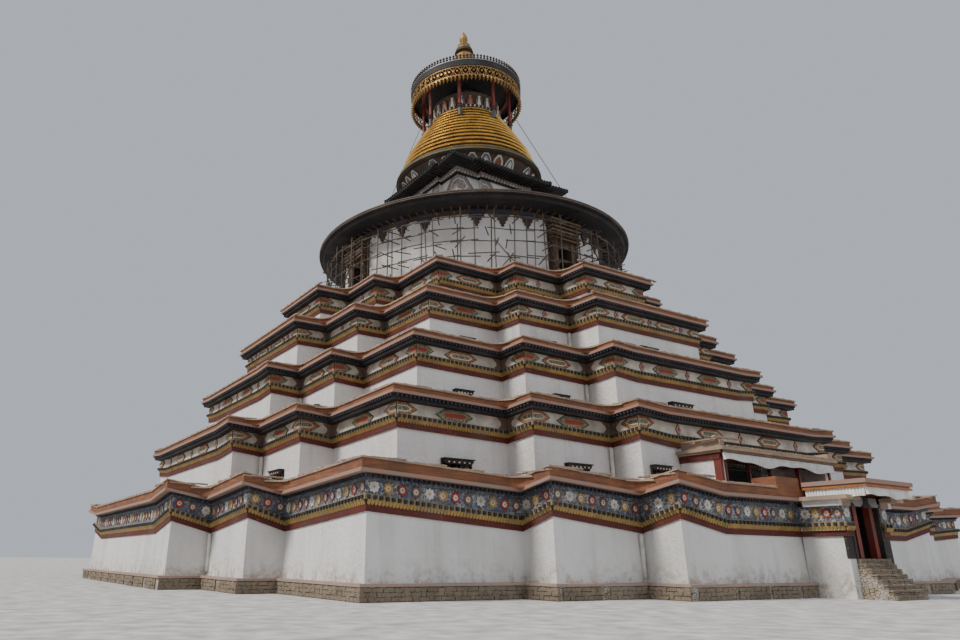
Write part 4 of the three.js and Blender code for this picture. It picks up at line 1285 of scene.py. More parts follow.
def add_windows():
    placed = []
    for group in WINDOW_ROWS:
        head = terrace_height(STOREYS[group["storey"] - 1]) + group["head"]
        for along, out, width, sides in window_spots(group):
            pattern = window_unit(width)
            for side in sides:
                where = place(*turned_point(along, -out - WINDOW_FORWARD, side), head)
                placed.append(copy_of(pattern, "window", where, side))
            bpy.data.objects.remove(pattern)
    print("windows:", len(placed))
    return join_placed(placed, "terrace_windows")


keep(add_windows(), None, "dark_timber")

# %% [markdown]
# Rain leaves the terraces by thin pipes in the inward corners. A pipe is a cylinder that is cut across
# at its joints, where narrow loops are swelled into collars.

# %% Downpipes
PIPE = {"radius": 0.055, "gap": 0.16, "collar": 1.6}
COLLARS = ((0.03, 0.07), (0.48, 0.52), (0.90, 0.94))


def pipe_shape(length):
    deselect()
    bpy.ops.mesh.primitive_cylinder_add(vertices=10, radius=m(PIPE["radius"]), depth=m(length),
                                        location=(0, 0, -m(length) / 2))
    piece = named("pipe")
    bpy.ops.object.transform_apply()
    bpy.ops.object.mode_set(mode="EDIT")
    for share in (share for collar in COLLARS for share in collar):
        cut_across(-m(length) * share)
    for low, high in COLLARS:
        pick(piece, lambda co: -m(length) * (high + 0.01) < co.z < -m(length) * (low - 0.01))
        bpy.ops.transform.resize(value=(PIPE["collar"], PIPE["collar"], 1), center_override=(0, 0, 0))
    settle()
    return piece


def add_pipes():
    pipes = []
    for index, storey in enumerate(STOREYS[:4]):
        base = 0.75 if index == 0 else terrace_height(STOREYS[index - 1]) + 0.45
        top = storey["frieze"] - CORNICE_DEPTH - 0.02
        pattern = pipe_shape(top - base)
        reach, half = storey["reach"][1], storey["half"][0]
        for side in range(4):
            for hand in (-1, 1):
                x, y = turned_point(hand * (half + PIPE["gap"] + 0.12), -reach - PIPE["gap"], side)
                pipes.append(copy_of(pattern, "pipe", place(x, y, top)))
        bpy.data.objects.remove(pattern)
    print("downpipes:", len(pipes))
    return join_placed(pipes, "downpipes")


keep(add_pipes(), PAINT_WHITE, "cable")

# %% [markdown]
# The building stands on a low footing of split stone with a plaster ledge. The stones are cubes that
# are subdivided, roughened by a seeded random move and set in a row of five that differ, and that row
# is repeated. One stone repeated four hundred times would show.

# %% Stone footing
FOOTING = {"reach": 0.45, "height": 0.5, "ledge": 0.1, "pitch": 2.0, "rows": 3, "seed": 11}
GROUND_LEVEL = 0.0005
STONE_ROW = ((0.34, 0.15), (0.26, 0.17), (0.42, 0.13), (0.22, 0.16), (0.30, 0.15), (0.46, 0.14))


def rough_stone(width, height, depth, seed):
    piece = block("stone", (0, 0, 0), (m(width) * 0.94, m(depth), m(height) * 0.94))
    bpy.ops.object.mode_set(mode="EDIT")
    bpy.ops.mesh.select_all(action="SELECT")
    bpy.ops.mesh.subdivide(number_cuts=1)
    bpy.ops.transform.vertex_random(offset=m(0.028), uniform=0.0, normal=0.0, seed=seed)
    settle()
    return piece


def stone_strip(rows, seed):
    """A strip of rough stones in staggered rows, centred on its length."""
    stones = []
    total = sum(width for width, _ in STONE_ROW)
    for level in range(rows):
        x = -total / 2
        order = STONE_ROW[level:] + STONE_ROW[:level]
        for number, (width, height) in enumerate(order):
            stone = rough_stone(width, height, 0.16, seed + level * 7 + number)
            stone.location = (m(x + width / 2), 0, m(0.09 + level * 0.155))
            stones.append(stone)
            x += width
    return join_placed(stones, "stone_strip")


def press_flat(piece, axis, limit):
    """Presses what lies below a limit along an axis on to the plane at that limit."""
    edit(piece)
    if pick(piece, lambda co: co[axis] < limit):
        value = [0 if number == axis else 1 for number in range(3)]
        centre = [limit if number == axis else 0 for number in range(3)]
        bpy.ops.transform.resize(value=value, center_override=centre)
    bpy.ops.object.mode_set(mode="OBJECT")


level_ground = {**STOREYS[0], "lift": 0.0}
footing = wall_rows(stone_strip(FOOTING["rows"], FOOTING["seed"]), "footing_stones", level_ground,
                    FOOTING["reach"] - 0.03, 0.0, FOOTING["pitch"])
clear_of_gate(footing, -2.2, 1.8, -25.9)
press_flat(footing, 2, GROUND_LEVEL)
keep(footing, FIELD_STONE, "rubble")
ledge = moulding("plaster_ledge", level_ground, 0.05, FOOTING["reach"] + 0.06, FOOTING["height"],
                 FOOTING["height"] + FOOTING["ledge"])
without_gate(ledge, -1.9, 1.5)
keep(ledge, LEDGE, "rubble")
print("footing faces:", len(footing.data.polygons))

# %% [markdown]
# A clay parapet ends in flat stones that stick out unevenly, and it is rounded where two walls meet,
# because beaten clay never keeps a sharp inner corner. A strip of six rough slabs is repeated along
# every wall, and one curved fillet is made and set in each inward corner.

# %% Coping stones and rounded inner corners
COPING_ROW = ((0.34, 0.00), (0.24, 0.03), (0.40, -0.02), (0.28, 0.02), (0.36, 0.01), (0.22, -0.01))
COPING_REACH = 0.47
FILLET_RADIUS = 0.8
PARAPET_REACH = 0.5


def coping_strip():
    stones = []
    total = sum(width for width, _ in COPING_ROW)
    x = -total / 2
    for number, (width, forward) in enumerate(COPING_ROW):
        stone = rough_stone(width, 0.075, 0.16, 71 + number)
        stone.location = (m(x + width / 2), -m(forward), 0)
        stones.append(stone)
        x += width
    return join_placed(stones, "coping_strip"), total


def fillet_shape(name, height, radius):
    """A square post whose front is hollowed by a round bar. Its back corner is the parapet's inner corner."""
    deselect()
    side, middle = m(radius), m(height) / 2
    bpy.ops.mesh.primitive_cylinder_add(vertices=24, radius=side, depth=m(height) * 3,
                                        location=(-side, -side, middle))
    bar = named("bar")
    back = -side / 2 + m(0.01)
    piece = block(name, (back, back, middle), (side, side, m(height)))
    hollow = piece.modifiers.new("hollow", "BOOLEAN")
    hollow.operation = "DIFFERENCE"
    hollow.object = bar
    bpy.ops.object.modifier_apply(modifier=hollow.name)
    bpy.data.objects.remove(bar)
    return piece


def set_in_corners(name, offset, low, high, radius):
    """One fillet in every inward corner of every storey."""
    placed = []
    for index, storey in enumerate(STOREYS):
        floor = terrace_height(storey)
        top = floor + PARAPET_HEIGHTS[index] + high
        base = top - low if low else floor
        pattern = fillet_shape(name, top - base, radius)
        for step in range(2):
            x, y = storey["half"][step] + offset, -storey["reach"][step + 1] - offset
            for side in range(4):
                for hand in (-1, 1):
                    where = place(*turned_point(hand * x, y, side), base)
                    placed.append(copy_of(pattern, name, where, side + (hand > 0)))
        bpy.data.objects.remove(pattern)
    return join_placed(placed, name)


strip, strip_length = coping_strip()
for index, storey in enumerate(STOREYS):
    top = terrace_height(storey) + PARAPET_HEIGHTS[index] + 0.05
    stones = wall_rows(copy_of(strip, "coping_strip"), f"tier_{index + 1}_coping_stones", storey,
                       COPING_REACH, top, strip_length)
    if index == 0:
        clear_of_gate(stones, *GATE_BLOCKS_SPAN, -25.9)
    keep(stones, COPING, "slab")
bpy.data.objects.remove(strip)
keep(set_in_corners("parapet_inner_corners", PARAPET_REACH, 0.0, 0.0, FILLET_RADIUS), CLAY, "clay")
keep(set_in_corners("coping_inner_corners", 0.6, 0.07, 0.08, FILLET_RADIUS - 0.04), COPING, "slab")
print("coping stones laid on", len(STOREYS), "parapets")

# %% [markdown]
# The gate's side walls carry the ground storey's whole cornice round to the front. A bar is the simplest
# piece of moulding: a block whose two ends and two heights are given, with its outer face drawn outwards
# at the top where it flares. The same rows of petals and dentils are laid along it as on the building.

# %% Cornice on the gate's side walls
GATE = {"left": -1.9, "right": 1.5, "front": 27.6, "wall": 0.45, "behind": 25.66, "roof_back": 26.22}
GATE_BANDS = (
    ("maroon", 0.08, 0.0, MAROON), ("petals", 0.08, 0.08, DENTIL_DARK), ("shelf", 0.19, 0.0, SHELF_TAN),
)
GATE_FLOWER_PITCH = 0.5


def bar(name, x, y, z, flare=0.0):
    """A block from the ranges x, y and z in metres of the building. flare widens its top on every side."""
    centre = place((x[0] + x[1]) / 2, (y[0] + y[1]) / 2, (z[0] + z[1]) / 2)
    piece = block(name, centre, (m(x[1] - x[0]), m(y[1] - y[0]), m(z[1] - z[0])))
    if flare:
        bpy.ops.object.mode_set(mode="EDIT")
        pick(piece, lambda co: co.z > centre.z)
        grow = [1 + 2 * flare / (span[1] - span[0]) for span in (x, y)]
        bpy.ops.transform.resize(value=(*grow, 1), center_override=centre)
        bpy.ops.object.mode_set(mode="OBJECT")
    return piece


def pier_faces(hand):
    """Outer and inner face of the left (-1) or right (1) side wall of the gate."""
    outer = GATE["left"] if hand < 0 else GATE["right"]
    return outer, outer - hand * GATE["wall"]


def round_pier(name, hand, reach, low, high, flare=0.0, back=GATE["behind"]):
    """A block that wraps the front, the outer and the inner face of one side wall of the gate."""
    edge, inner = pier_faces(hand)
    spread = sorted((edge + hand * reach, inner - hand * 0.02))
    return bar(name, spread, (-GATE["front"] - reach, -back), (low, high), flare)


def pier_rows(piece, name, hand, reach, height, pitch):
    """A row along the outer face and one along the front face of one side wall."""
    edge, inner = pier_faces(hand)
    edge += hand * reach
    front = -GATE["front"] - reach
    runs = [((edge, -25.85), (edge, front)), ((edge, front), (inner, front))]
    if hand > 0:
        runs = [(end, start) for start, end in runs]
    rows = [row(piece, name, place(*start, height), place(*end, height), pitch) for start, end in runs]
    bpy.data.objects.remove(piece)
    return rows


def dress_pier(hand):
    gate, at = "gate_left" if hand < 0 else "gate_right", levels(STOREYS[0])
    low, soffit = at["foot"], at["soffit"]
    for band, reach, flare, finish in GATE_BANDS:
        high = low + BANDS[band]
        keep(round_pier(f"{gate}_{band}", hand, reach, low, high, flare), finish, "painted_cornice")
        low = high
    frieze = round_pier(f"{gate}_frieze", hand, 0.075, STOREYS[0]["frieze"], soffit + 0.02)
    keep(frieze, FRIEZE_BLUE, "painted_cornice")
    steps = [round_pier("gate_coping", hand, reach, low, high, back=GATE["roof_back"])
             for reach, low, high in ((0.17, soffit - 0.01, soffit + 0.26), (0.62, soffit + 0.24, 4.16))]
    keep(join_all(steps, f"{gate}_coping"), COPING, "slab")


def add_pier_rows(hand):
    gate, at = "gate_left" if hand < 0 else "gate_right", levels(STOREYS[0])
    dentil_middle = at["shelf"] + DENTIL["above"]
    petals = pier_rows(petal_shape(), f"{gate}_petals", hand, 0.12, at["petal_middle"], PETAL["pitch"])
    dentils = pier_rows(dentil_shape(), f"{gate}_dentils", hand, 0.16, dentil_middle, DENTIL["pitch"])
    blooms = pier_rows(flower_shape(), f"{gate}_flowers", hand, 0.08, frieze_middle, GATE_FLOWER_PITCH)
    for bloom in blooms:
        paint_in_turn(bloom, flower_faces)
    keep(join_all(petals, f"{gate}_petals"), PETAL_GOLD, "painted_cornice")
    keep(join_all(dentils, f"{gate}_dentils"), DENTIL_DARK, "painted_cornice")
    keep(join_all(blooms, f"{gate}_flowers"), None, "painted_cornice")


for hand in (-1, 1):
    dress_pier(hand)
    add_pier_rows(hand)
print("gate walls dressed, pieces so far:", len(PIECES))

# %% [markdown]
# The doorway behind the columns is a dark timber frame that is painted black below and carries grey
# bracket capitals. The steps are thin stones laid in courses. They are strips of rough stones like the
# footing, one strip for each tread, because a smooth ramp of blocks would not read as stone.

# %% Door frame, capitals and steps of the gate
STEPS = {"count": 8, "run": 0.17, "rise": 0.2, "left": -1.45, "right": 1.05, "top": 1.6, "seed": 131}
TREAD_SHARES = (0.21, 0.13, 0.19, 0.11, 0.2, 0.16)
CAPITALS_AT = (-1.66, -0.75, 0.6, 1.28)


def tread_row(number):
    """A row of six rough stones as long as a tread."""
    stones = []
    width = STEPS["right"] - STEPS["left"]
    shift = number % len(TREAD_SHARES)
    x = STEPS["left"]
    for index, share in enumerate(TREAD_SHARES[shift:] + TREAD_SHARES[:shift]):
        length = width * share
        for layer in (0, 1):
            stone = rough_stone(length, 0.095, 0.3, STEPS["seed"] + number * 13 + index + layer * 5)
            stone.location = (m(x + length / 2), 0, m(-0.05 - layer * 0.1))
            stones.append(stone)
        x += length
    return stones


def add_steps():
    stones = []
    for number in range(STEPS["count"]):
        treads = tread_row(number)
        for stone in treads:
            stone.location.y = m(-GATE["front"] - number * STEPS["run"] - 0.02)
            stone.location.z += m(STEPS["top"] - number * STEPS["rise"]) + m(0.005)
        stones += treads
    steps = join_placed(stones, "step_stones")
    press_flat(steps, 2, GROUND_LEVEL)
    press_flat(steps, 1, cad_box[0][1] + GROUND_LEVEL)
    return steps


def capital(name, x):
    """A bracket capital: a block whose ends are cut back in two steps on their undersides."""
    piece = bar(name, (x - 0.44, x + 0.44), (-27.72, -27.38), (3.9, 4.15))
    bpy.ops.object.mode_set(mode="EDIT")
    pick(piece, lambda centre, normal: normal.z < -0.9, "FACE")
    for share in (0.8, 0.75):
        extrude(0, 0, 0)
        bpy.ops.transform.resize(value=(share, 1, 1), center_override=(m(x), 0, 0))
        extrude(0, 0, -m(0.07))
    settle()
    return piece


jambs = [
    bar("gate_jamb", (-1.47, -1.30), (-27.66, -26.3), (1.6, 4.18)),
    bar("gate_jamb", (0.90, 1.07), (-27.66, -26.3), (1.6, 4.18)),
    bar("gate_lintel", (-1.9, 1.5), (-27.64, -27.36), (4.16, 4.24)),
    bar("pier_board", (-1.93, -1.43), (-27.63, -27.5), (1.6, 2.5)),
    bar("pier_board", (1.03, 1.53), (-27.63, -27.5), (0.0, 2.5)),
]
keep(join_all(jambs, "gate_jambs"), DARK_TIMBER, "dark_timber")
capitals = [capital("gate_capital", x) for x in CAPITALS_AT]
keep(join_all(capitals, "gate_capitals"), STEEL_GREY, "painted_cornice")
keep(add_steps(), FIELD_STONE, "rubble")
roof_band = bar("gate_roof_band", (-2.12, 1.72), (-28.87, -26.2), (4.47, 4.56))
keep(roof_band, PAINT_ORANGE, "slab")
print("capitals:", len(CAPITALS_AT), "steps:", STEPS["count"])

# %% [markdown]
# Both roofs have a white cotton valance, gathered into narrow pleats and tacked under the edge. One
# pleat is modelled: a strip that is folded by moving alternate columns, drawn out at its hem. The array
# runs it along each edge, so the cloth keeps its real length, and the hem sags between its ties.

# %% Pleated valances
VALANCE = {"pleat": 0.13, "depth": 0.08, "columns": 4, "rows": 5, "drop": 0.40}
GATE_EDGE = ((-1.99, -26.22, 4.5), (-1.99, -28.74, 4.5), (1.59, -28.74, 4.5), (1.59, -26.22, 4.5))
PORCH_EDGE = ((-5.02, -24.52, 6.14), (3.87, -24.52, 6.14))


def pleat_shape(drop):
    """One pleat in the plane of the front wall: it hangs from z = 0 and folds towards -y."""
    deselect()
    width, height = m(VALANCE["pleat"]), m(drop)
    bpy.ops.mesh.primitive_grid_add(x_subdivisions=VALANCE["columns"], y_subdivisions=VALANCE["rows"], size=1,
                                    rotation=(math.pi / 2, 0, 0), location=(0, 0, -height / 2))
    piece = named("pleat")
    piece.scale = (width, height, 1)
    bpy.ops.object.transform_apply()
    return piece


def fold(piece, drop, width):
    """Pushes the middle column of the pleat forward, more at the hem than at the tacked edge."""
    bpy.ops.object.mode_set(mode="EDIT")
    for row_number in range(VALANCE["rows"] + 1):
        height = -m(drop) * row_number / VALANCE["rows"]
        reach = m(VALANCE["depth"]) * (0.35 + 0.65 * row_number / VALANCE["rows"])
        pick(piece, lambda co: abs(co.z - height) < 1e-4 and abs(co.x) < width * 0.3)
        bpy.ops.transform.translate(value=(0, -reach, 0))
    bpy.ops.object.mode_set(mode="OBJECT")
    return piece


def cloth_run(start, end, drop, sag):
    """A pleated length of cloth from start to end, whose hem rises and falls in slow waves."""
    pattern = pleat_shape(drop)
    fold(pattern, drop, m(VALANCE["pleat"]))
    run = row(pattern, "cloth", start, end, VALANCE["pleat"])
    bpy.data.objects.remove(pattern)
    along = end - start
    length = math.hypot(along.x, along.y)
    bpy.context.view_layer.objects.active = run
    run.select_set(True)
    bpy.ops.object.mode_set(mode="EDIT")
    bpy.ops.mesh.select_all(action="SELECT")
    bpy.ops.mesh.remove_doubles(threshold=m(0.004))
    mesh = bmesh.from_edit_mesh(run.data)
    for vertex in mesh.verts:
        share = (vertex.co - start).dot(along) / length ** 2
        hang = (start.z + along.z * share - vertex.co.z) / m(drop)
        wave = sum(math.sin(math.pi * share * turns + phase) * size for turns, phase, size in sag)
        vertex.co.z += hang * m(drop) * wave
        vertex.co.x += hang * m(0.02) * math.sin(share * 23)
        vertex.co.y -= hang * m(0.03) * (1 + math.sin(share * 17))
    bmesh.update_edit_mesh(run.data)
    bpy.ops.object.mode_set(mode="OBJECT")
    return run


def valance(name, corners, drop, sag, node):
    points = [place(*corner) for corner in corners]
    runs = [cloth_run(start, end, drop, sag) for start, end in zip(points, points[1:])]
    cloth = join_all(runs, name)
    keep(cloth, COTTON, "cloth", node)
    return cloth


valance("gate_cloth", GATE_EDGE, VALANCE["drop"], ((2.0, 0.4, 0.12), (5.0, 1.1, 0.07)), "gate_valance")
valance("porch_cloth", PORCH_EDGE, VALANCE["drop"], ((4.0, 0.3, 0.22), (9.0, 0.8, 0.12)), "porch_valance")

# %% [markdown]
# The chapel on the first terrace has a timber front: red posts, a thin grille at its left end and a
# board along its roof. The bars of the grille are one hexagonal rod, cut in two places and swelled
# there, that an array repeats.

# %% Front of the chapel
GRILLE = {"left": -4.4, "right": -0.95, "line": -24.18, "foot": 4.2, "top": 6.1, "pitch": 0.13}
GRILLE_RAILS = (4.75, 5.45)
POST_HEIGHTS = (4.14, 6.15)


def rod(name, start, end, radius, sides=6, beads=()):
    """A round rod between two points, with beads at the given shares of its length."""
    deselect()
    along = end - start
    bpy.ops.mesh.primitive_cylinder_add(vertices=sides, radius=m(radius), depth=along.length)
    piece = named(name)
    bpy.ops.object.mode_set(mode="EDIT")
    for share in beads:
        for edge in (-0.012, 0.0, 0.012):
            cut_across((share + edge - 0.5) * along.length)
        pick(piece, lambda co: abs(co.z - (share - 0.5) * along.length) < 0.004 * along.length)
        bpy.ops.transform.resize(value=(1.7, 1.7, 1), center_override=(0, 0, 0))
    bpy.ops.object.mode_set(mode="OBJECT")
    piece.rotation_euler = along.to_track_quat("Z", "Y").to_euler()
    piece.location = (start + end) / 2
    bpy.ops.object.transform_apply()
    return piece


def add_grille():
    left, right, line = GRILLE["left"], GRILLE["right"], GRILLE["line"]
    foot, top = place(0, 0, GRILLE["foot"]), place(0, 0, GRILLE["top"])
    pattern = rod("grille_bar", foot, top, 0.016, beads=(0.35, 0.7))
    bars = row(pattern, "grille", place(left, line, 0), place(right, line, 0), GRILLE["pitch"])
    bpy.data.objects.remove(pattern)
    rails = [rod("grille_rail", place(left - 0.05, line, z), place(right + 0.05, line, z), 0.022)
             for z in GRILLE_RAILS]
    return join_all([bars, *rails], "chapel_grille")


print("rod helper ready")

# %% [markdown]
# The rest of the front is joinery: posts at both ends, an eave board, and a painted band on each side
# wall. The roof's low edge is laid with the same strip of stones as the parapets, so that the chapel
# looks built by the same hands. A new stone for it would only cost faces.

# %% Posts, boards and roof edge of the chapel


timber = [
    bar("chapel_corner_post", (-4.99, -4.83), (-24.36, -24.0), POST_HEIGHTS),
    bar("chapel_corner_post", (-4.66, -4.56), (-24.36, -24.1), POST_HEIGHTS),
    bar("chapel_corner_post", (3.68, 3.84), (-24.36, -24.0), POST_HEIGHTS),
    bar("chapel_eave_board", (-5.1, 3.95), (-24.6, -24.5), (6.15, 6.27)),
]
keep(join_all(timber, "chapel_posts"), RED_TIMBER, "red_timber")
keep(add_grille(), IRON, "red_timber")
boards = [
    bar("chapel_wall_band", (-5.02, -4.93), (-24.34, -22.2), (5.85, 6.14)),
    bar("chapel_wall_band", (3.78, 3.87), (-24.34, -22.2), (5.85, 6.14)),
]
keep(join_all(boards, "chapel_wall_bands"), MAROON, "painted_cornice")
strip, strip_length = coping_strip()
corners = ((-5.2, -22.3, 6.75), (-5.2, -24.74, 6.75), (-4.7, -24.74, 6.75))
lines = [*zip(corners, corners[1:]), ((-4.7, -24.62, 6.43), (4.0, -24.62, 6.43))]
edge_runs = [row(strip, "roof_edge", place(*start), place(*end), strip_length) for start, end in lines]
bpy.data.objects.remove(strip)
keep(join_all(edge_runs, "chapel_roof_edge"), COPING, "slab")
print("chapel front done, pieces so far:", len(PIECES))

# %% [markdown]
# The drum's roof is a wide timber eave: layers of thin rafters under boards, with a light edge. From the
# ground one sees only its underside, so that is where the detail goes. One rafter is modelled, tapered
# to its outer end, and turned round the axis. Each copy is its own mesh, joined at once.

# %% Eave of the drum
DRUM = {"radius": 10.55, "floor": 18.94, "top": 24.95}
DRUM_RAFTER = {"inner": 10.6, "outer": 12.66, "low": 24.90, "rise": 0.36, "width": 0.13, "height": 0.15}
DRUM_RAFTER_COUNT = 110
PURLINS = ((11.5, 11.62, 24.98, 25.10), (12.2, 12.3, 25.10, 25.22))
EAVE_EDGES = ((12.60, 12.80, 25.33, 25.41), (12.5, 12.77, 25.22, 25.31))


def turned_copies(piece, name, count, first=0.0, skip=()):
    """Copies a piece round the axis of the building and joins the copies."""
    step = 360.0 / count
    copies = []
    for index in range(count):
        if index in skip:
            continue
        copy = copy_of(piece, name)
        copy.rotation_euler = (0, 0, math.radians(first + index * step))
        copies.append(copy)
    bpy.data.objects.remove(piece)
    return join_placed(copies, name)


def ring(name, inner, outer, low, high, segments=96):
    """A flat ring: a circle is filled and inset, its middle is taken out and the rest is raised."""
    deselect()
    bpy.ops.mesh.primitive_circle_add(vertices=segments, radius=m(outer), fill_type="NGON",
                                      location=(0, 0, m(low)))
    piece = named(name)
    bpy.ops.object.transform_apply()
    bpy.ops.object.mode_set(mode="EDIT")
    bpy.ops.mesh.select_all(action="SELECT")
    bpy.ops.mesh.inset(thickness=m(outer - inner))
    bpy.ops.mesh.delete(type="FACE")
    bpy.ops.mesh.select_all(action="SELECT")
    extrude(0, 0, m(high - low))
    settle()
    return piece


def rings(name, sizes, segments=96):
    """Flat rings of the given (inner, outer, low, high), joined."""
    return join_all([ring("ring", *size, segments) for size in sizes], name)


def drum_rafter(inner, outer, low, rise, width, height):
    """A radial rafter that runs from one radius to another and rises outwards."""
    middle = m((inner + outer) / 2)
    piece = block("drum_rafter", (middle, 0, m(low)), (m(outer - inner), m(width), m(height)))
    bpy.ops.object.mode_set(mode="EDIT")
    pick(piece, lambda co: co.x > middle)
    bpy.ops.transform.translate(value=(0, 0, m(rise)))
    bpy.ops.transform.resize(value=(1, 0.8, 0.8), center_override=(m(outer), 0, m(low + rise)))
    bpy.ops.object.mode_set(mode="OBJECT")
    return piece


rafters = turned_copies(drum_rafter(**DRUM_RAFTER), "drum_rafters", DRUM_RAFTER_COUNT)
keep(rafters, EDGE_TIMBER, "dark_timber")
keep(rings("drum_purlins", PURLINS), RAFTER_BLACK, "dark_timber")
keep(rings("drum_eave_edge", EAVE_EDGES), EDGE_TIMBER, "dark_timber")
print("drum rafters:", DRUM_RAFTER_COUNT)

# %% [markdown]
# Dark carved brackets hang in steps from the top of the drum's wall, with narrow drops between them.
# A bracket is a block that is extruded downwards four times, narrower each time, with its face inset.
# Cloth would move in the wind, and in the picture these stay stiff and square.

# %% Hanging brackets of the drum
BRACKET = {"widths": (1.25, 1.0, 0.7, 0.42, 0.2), "heights": (0.25, 0.28, 0.28, 0.25, 0.22), "depth": 0.18}
BRACKET_ROUND = {"count": 36, "first": 5.0, "skip": (4, 13, 22, 31)}
DROP = {"radius": 0.05, "out": 0.12, "top": 0.02, "foot": 0.62}
DROP_ROUND = {"count": 84, "first": 2.0}
TOP_BAND = (10.5, 10.72, 24.62, 24.94)


def bracket_shape():
    x = DRUM["radius"] + 0.02
    width, height = BRACKET["widths"][0], BRACKET["heights"][0]
    centre = (m(x), 0, m(DRUM["top"] - height / 2))
    piece = block("bracket", centre, (m(BRACKET["depth"] * 2), m(width), m(height)))
    bpy.ops.object.mode_set(mode="EDIT")
    pick(piece, lambda centre, normal: normal.z < -0.9, "FACE")
    last = width
    for width, height in zip(BRACKET["widths"][1:], BRACKET["heights"][1:]):
        extrude(0, 0, 0)
        bpy.ops.transform.resize(value=(0.88, width / last, 1), center_override=(m(x - 0.1), 0, 0))
        extrude(0, 0, -m(height))
        last = width
    pick(piece, lambda centre, normal: normal.x > 0.9, "FACE")
    bpy.ops.mesh.inset(thickness=m(0.05), use_individual=True)
    bpy.ops.transform.translate(value=(m(0.03), 0, 0))
    settle()
    coat(piece, UMBER, BRACKET_BLUE)
    for face in piece.data.polygons:
        raised = face.normal.x > 0.9 and face.center.x > m(x + BRACKET["depth"] * 0.8)
        face.material_index = 1 if raised else 0
    return piece


def drop_shape():
    """A narrow drop between two brackets."""
    x, top = DRUM["radius"] + DROP["out"], DRUM["top"]
    start, end = place(x, 0, top - DROP["top"]), place(x, 0, top - DROP["foot"])
    return rod("drop", start, end, DROP["radius"], beads=(0.3, 0.6))


keep(turned_copies(bracket_shape(), "drum_brackets", **BRACKET_ROUND), None, "painted_cornice")
keep(turned_copies(drop_shape(), "drum_drops", **DROP_ROUND), UMBER, "painted_cornice")
keep(ring("drum_top_band", *TOP_BAND), UMBER, "painted_cornice")
print("drum brackets:", BRACKET_ROUND["count"] - len(BRACKET_ROUND["skip"]), "drops:", DROP_ROUND["count"])

# %% [markdown]
# Each of the four doorways is a carved and painted portal: borders one inside another at its sides, and
# a canopy of layered shelves over it. Both are simple bars, set out in a table of widths and heights.
# Carving them from one block would hide those sizes in a long chain of insets.

# %% Portals of the drum
PORTAL = {"face": 10.9, "foot": 19.5, "head": 22.95, "count": 4}
PORTAL_FINISHES = (UMBER, BRONZE, BROWN_CLOTH)
# Half width, how far each border stands out, and its finish
PORTAL_BORDERS = ((1.16, 0.10, 0), (0.98, 0.07, 1), (0.82, 0.05, 2))
# Underside, top, half width, how far each shelf stands out, and its finish
PORTAL_SHELVES = (
    (23.02, 23.14, 1.36, 0.3, 1), (23.24, 23.42, 1.32, 0.36, 0), (23.6, 23.72, 1.28, 0.30, 2),
    (23.84, 23.98, 1.38, 0.38, 1), (24.2, 24.32, 1.26, 0.3, 0), (24.4, 24.52, 1.4, 0.4, 1),
)


def portal_bar(x, reach, z, finish, flare=0.0):
    piece = bar("portal", x, (-PORTAL["face"] - reach, 0.04 - PORTAL["face"]), z, flare)
    piece["finish"] = finish
    return piece


def portal_frame():
    """Raised borders beside the doorway of the front, and the shelves over it."""
    pieces = []
    widest = PORTAL_BORDERS[0][0]
    for half, reach, finish in PORTAL_BORDERS:
        for hand in (-1, 1):
            x = hand * (half - 0.07)
            heights = (PORTAL["foot"], PORTAL["head"] + (widest - half))
            pieces.append(portal_bar((x - 0.06, x + 0.06), reach, heights, finish))
    for low, high, half, reach, finish in PORTAL_SHELVES:
        pieces.append(portal_bar((-half, half), reach, (low, high), finish, flare=0.03))
    return pieces


print("borders and shelves of a portal:", 2 * len(PORTAL_BORDERS) + len(PORTAL_SHELVES))

# %% [markdown]
# Leaf scrolls climb both sides of a portal and fill the shelves. A scroll is a short rod laid again and
# again round an arc that closes in, as a coil of clay is laid. One rod is modelled, and each copy is
# stretched and turned between two points. Modelling each rod anew would be ten times slower.

# %% Leaf scrolls of the portals
SCROLL = {"steps": 5, "turn": 62, "tightens": 0.13, "from_face": 10.98, "to_face": 11.0}
SIDE_SCROLLS = {"count": 9, "x": 1.12, "foot": 19.7, "pitch": 0.52, "size": 0.2}
SHELF_SCROLLS = {"x": (-0.8, -0.4, 0.0, 0.4, 0.8), "z": (23.5, 24.1), "size": 0.16}


def laid(pattern, start, end):
    """A copy of a pole one metre long, laid from one point to another."""
    along = end - start
    copy = copy_of(pattern, pattern.name)
    copy.scale = (1, 1, along.length)
    copy.rotation_euler = along.to_track_quat("Z", "Y").to_euler()
    copy.location = (start + end) / 2
    return copy


def scroll(pattern, x, z, size, finish):
    """A coil of short rods round an arc, standing on the face of the portal."""
    rods = []
    for step in range(SCROLL["steps"]):
        a, b = (math.radians(angle) for angle in (step * SCROLL["turn"], (step + 1) * SCROLL["turn"]))
        radius = size * (1 - step * SCROLL["tightens"])
        start = place(x + radius * math.cos(a), -SCROLL["from_face"], z + radius * math.sin(a))
        radius *= 0.9
        end = place(x + radius * math.cos(b), -SCROLL["to_face"], z + radius * math.sin(b))
        rods.append(laid(pattern, start, end))
        rods[-1]["finish"] = finish
    return rods


def unit_rod(name, radius, sides):
    """A rod one metre long about the origin, to be laid between points."""
    return rod(name, Vector((0, 0, -0.5)), Vector((0, 0, 0.5)), radius, sides)


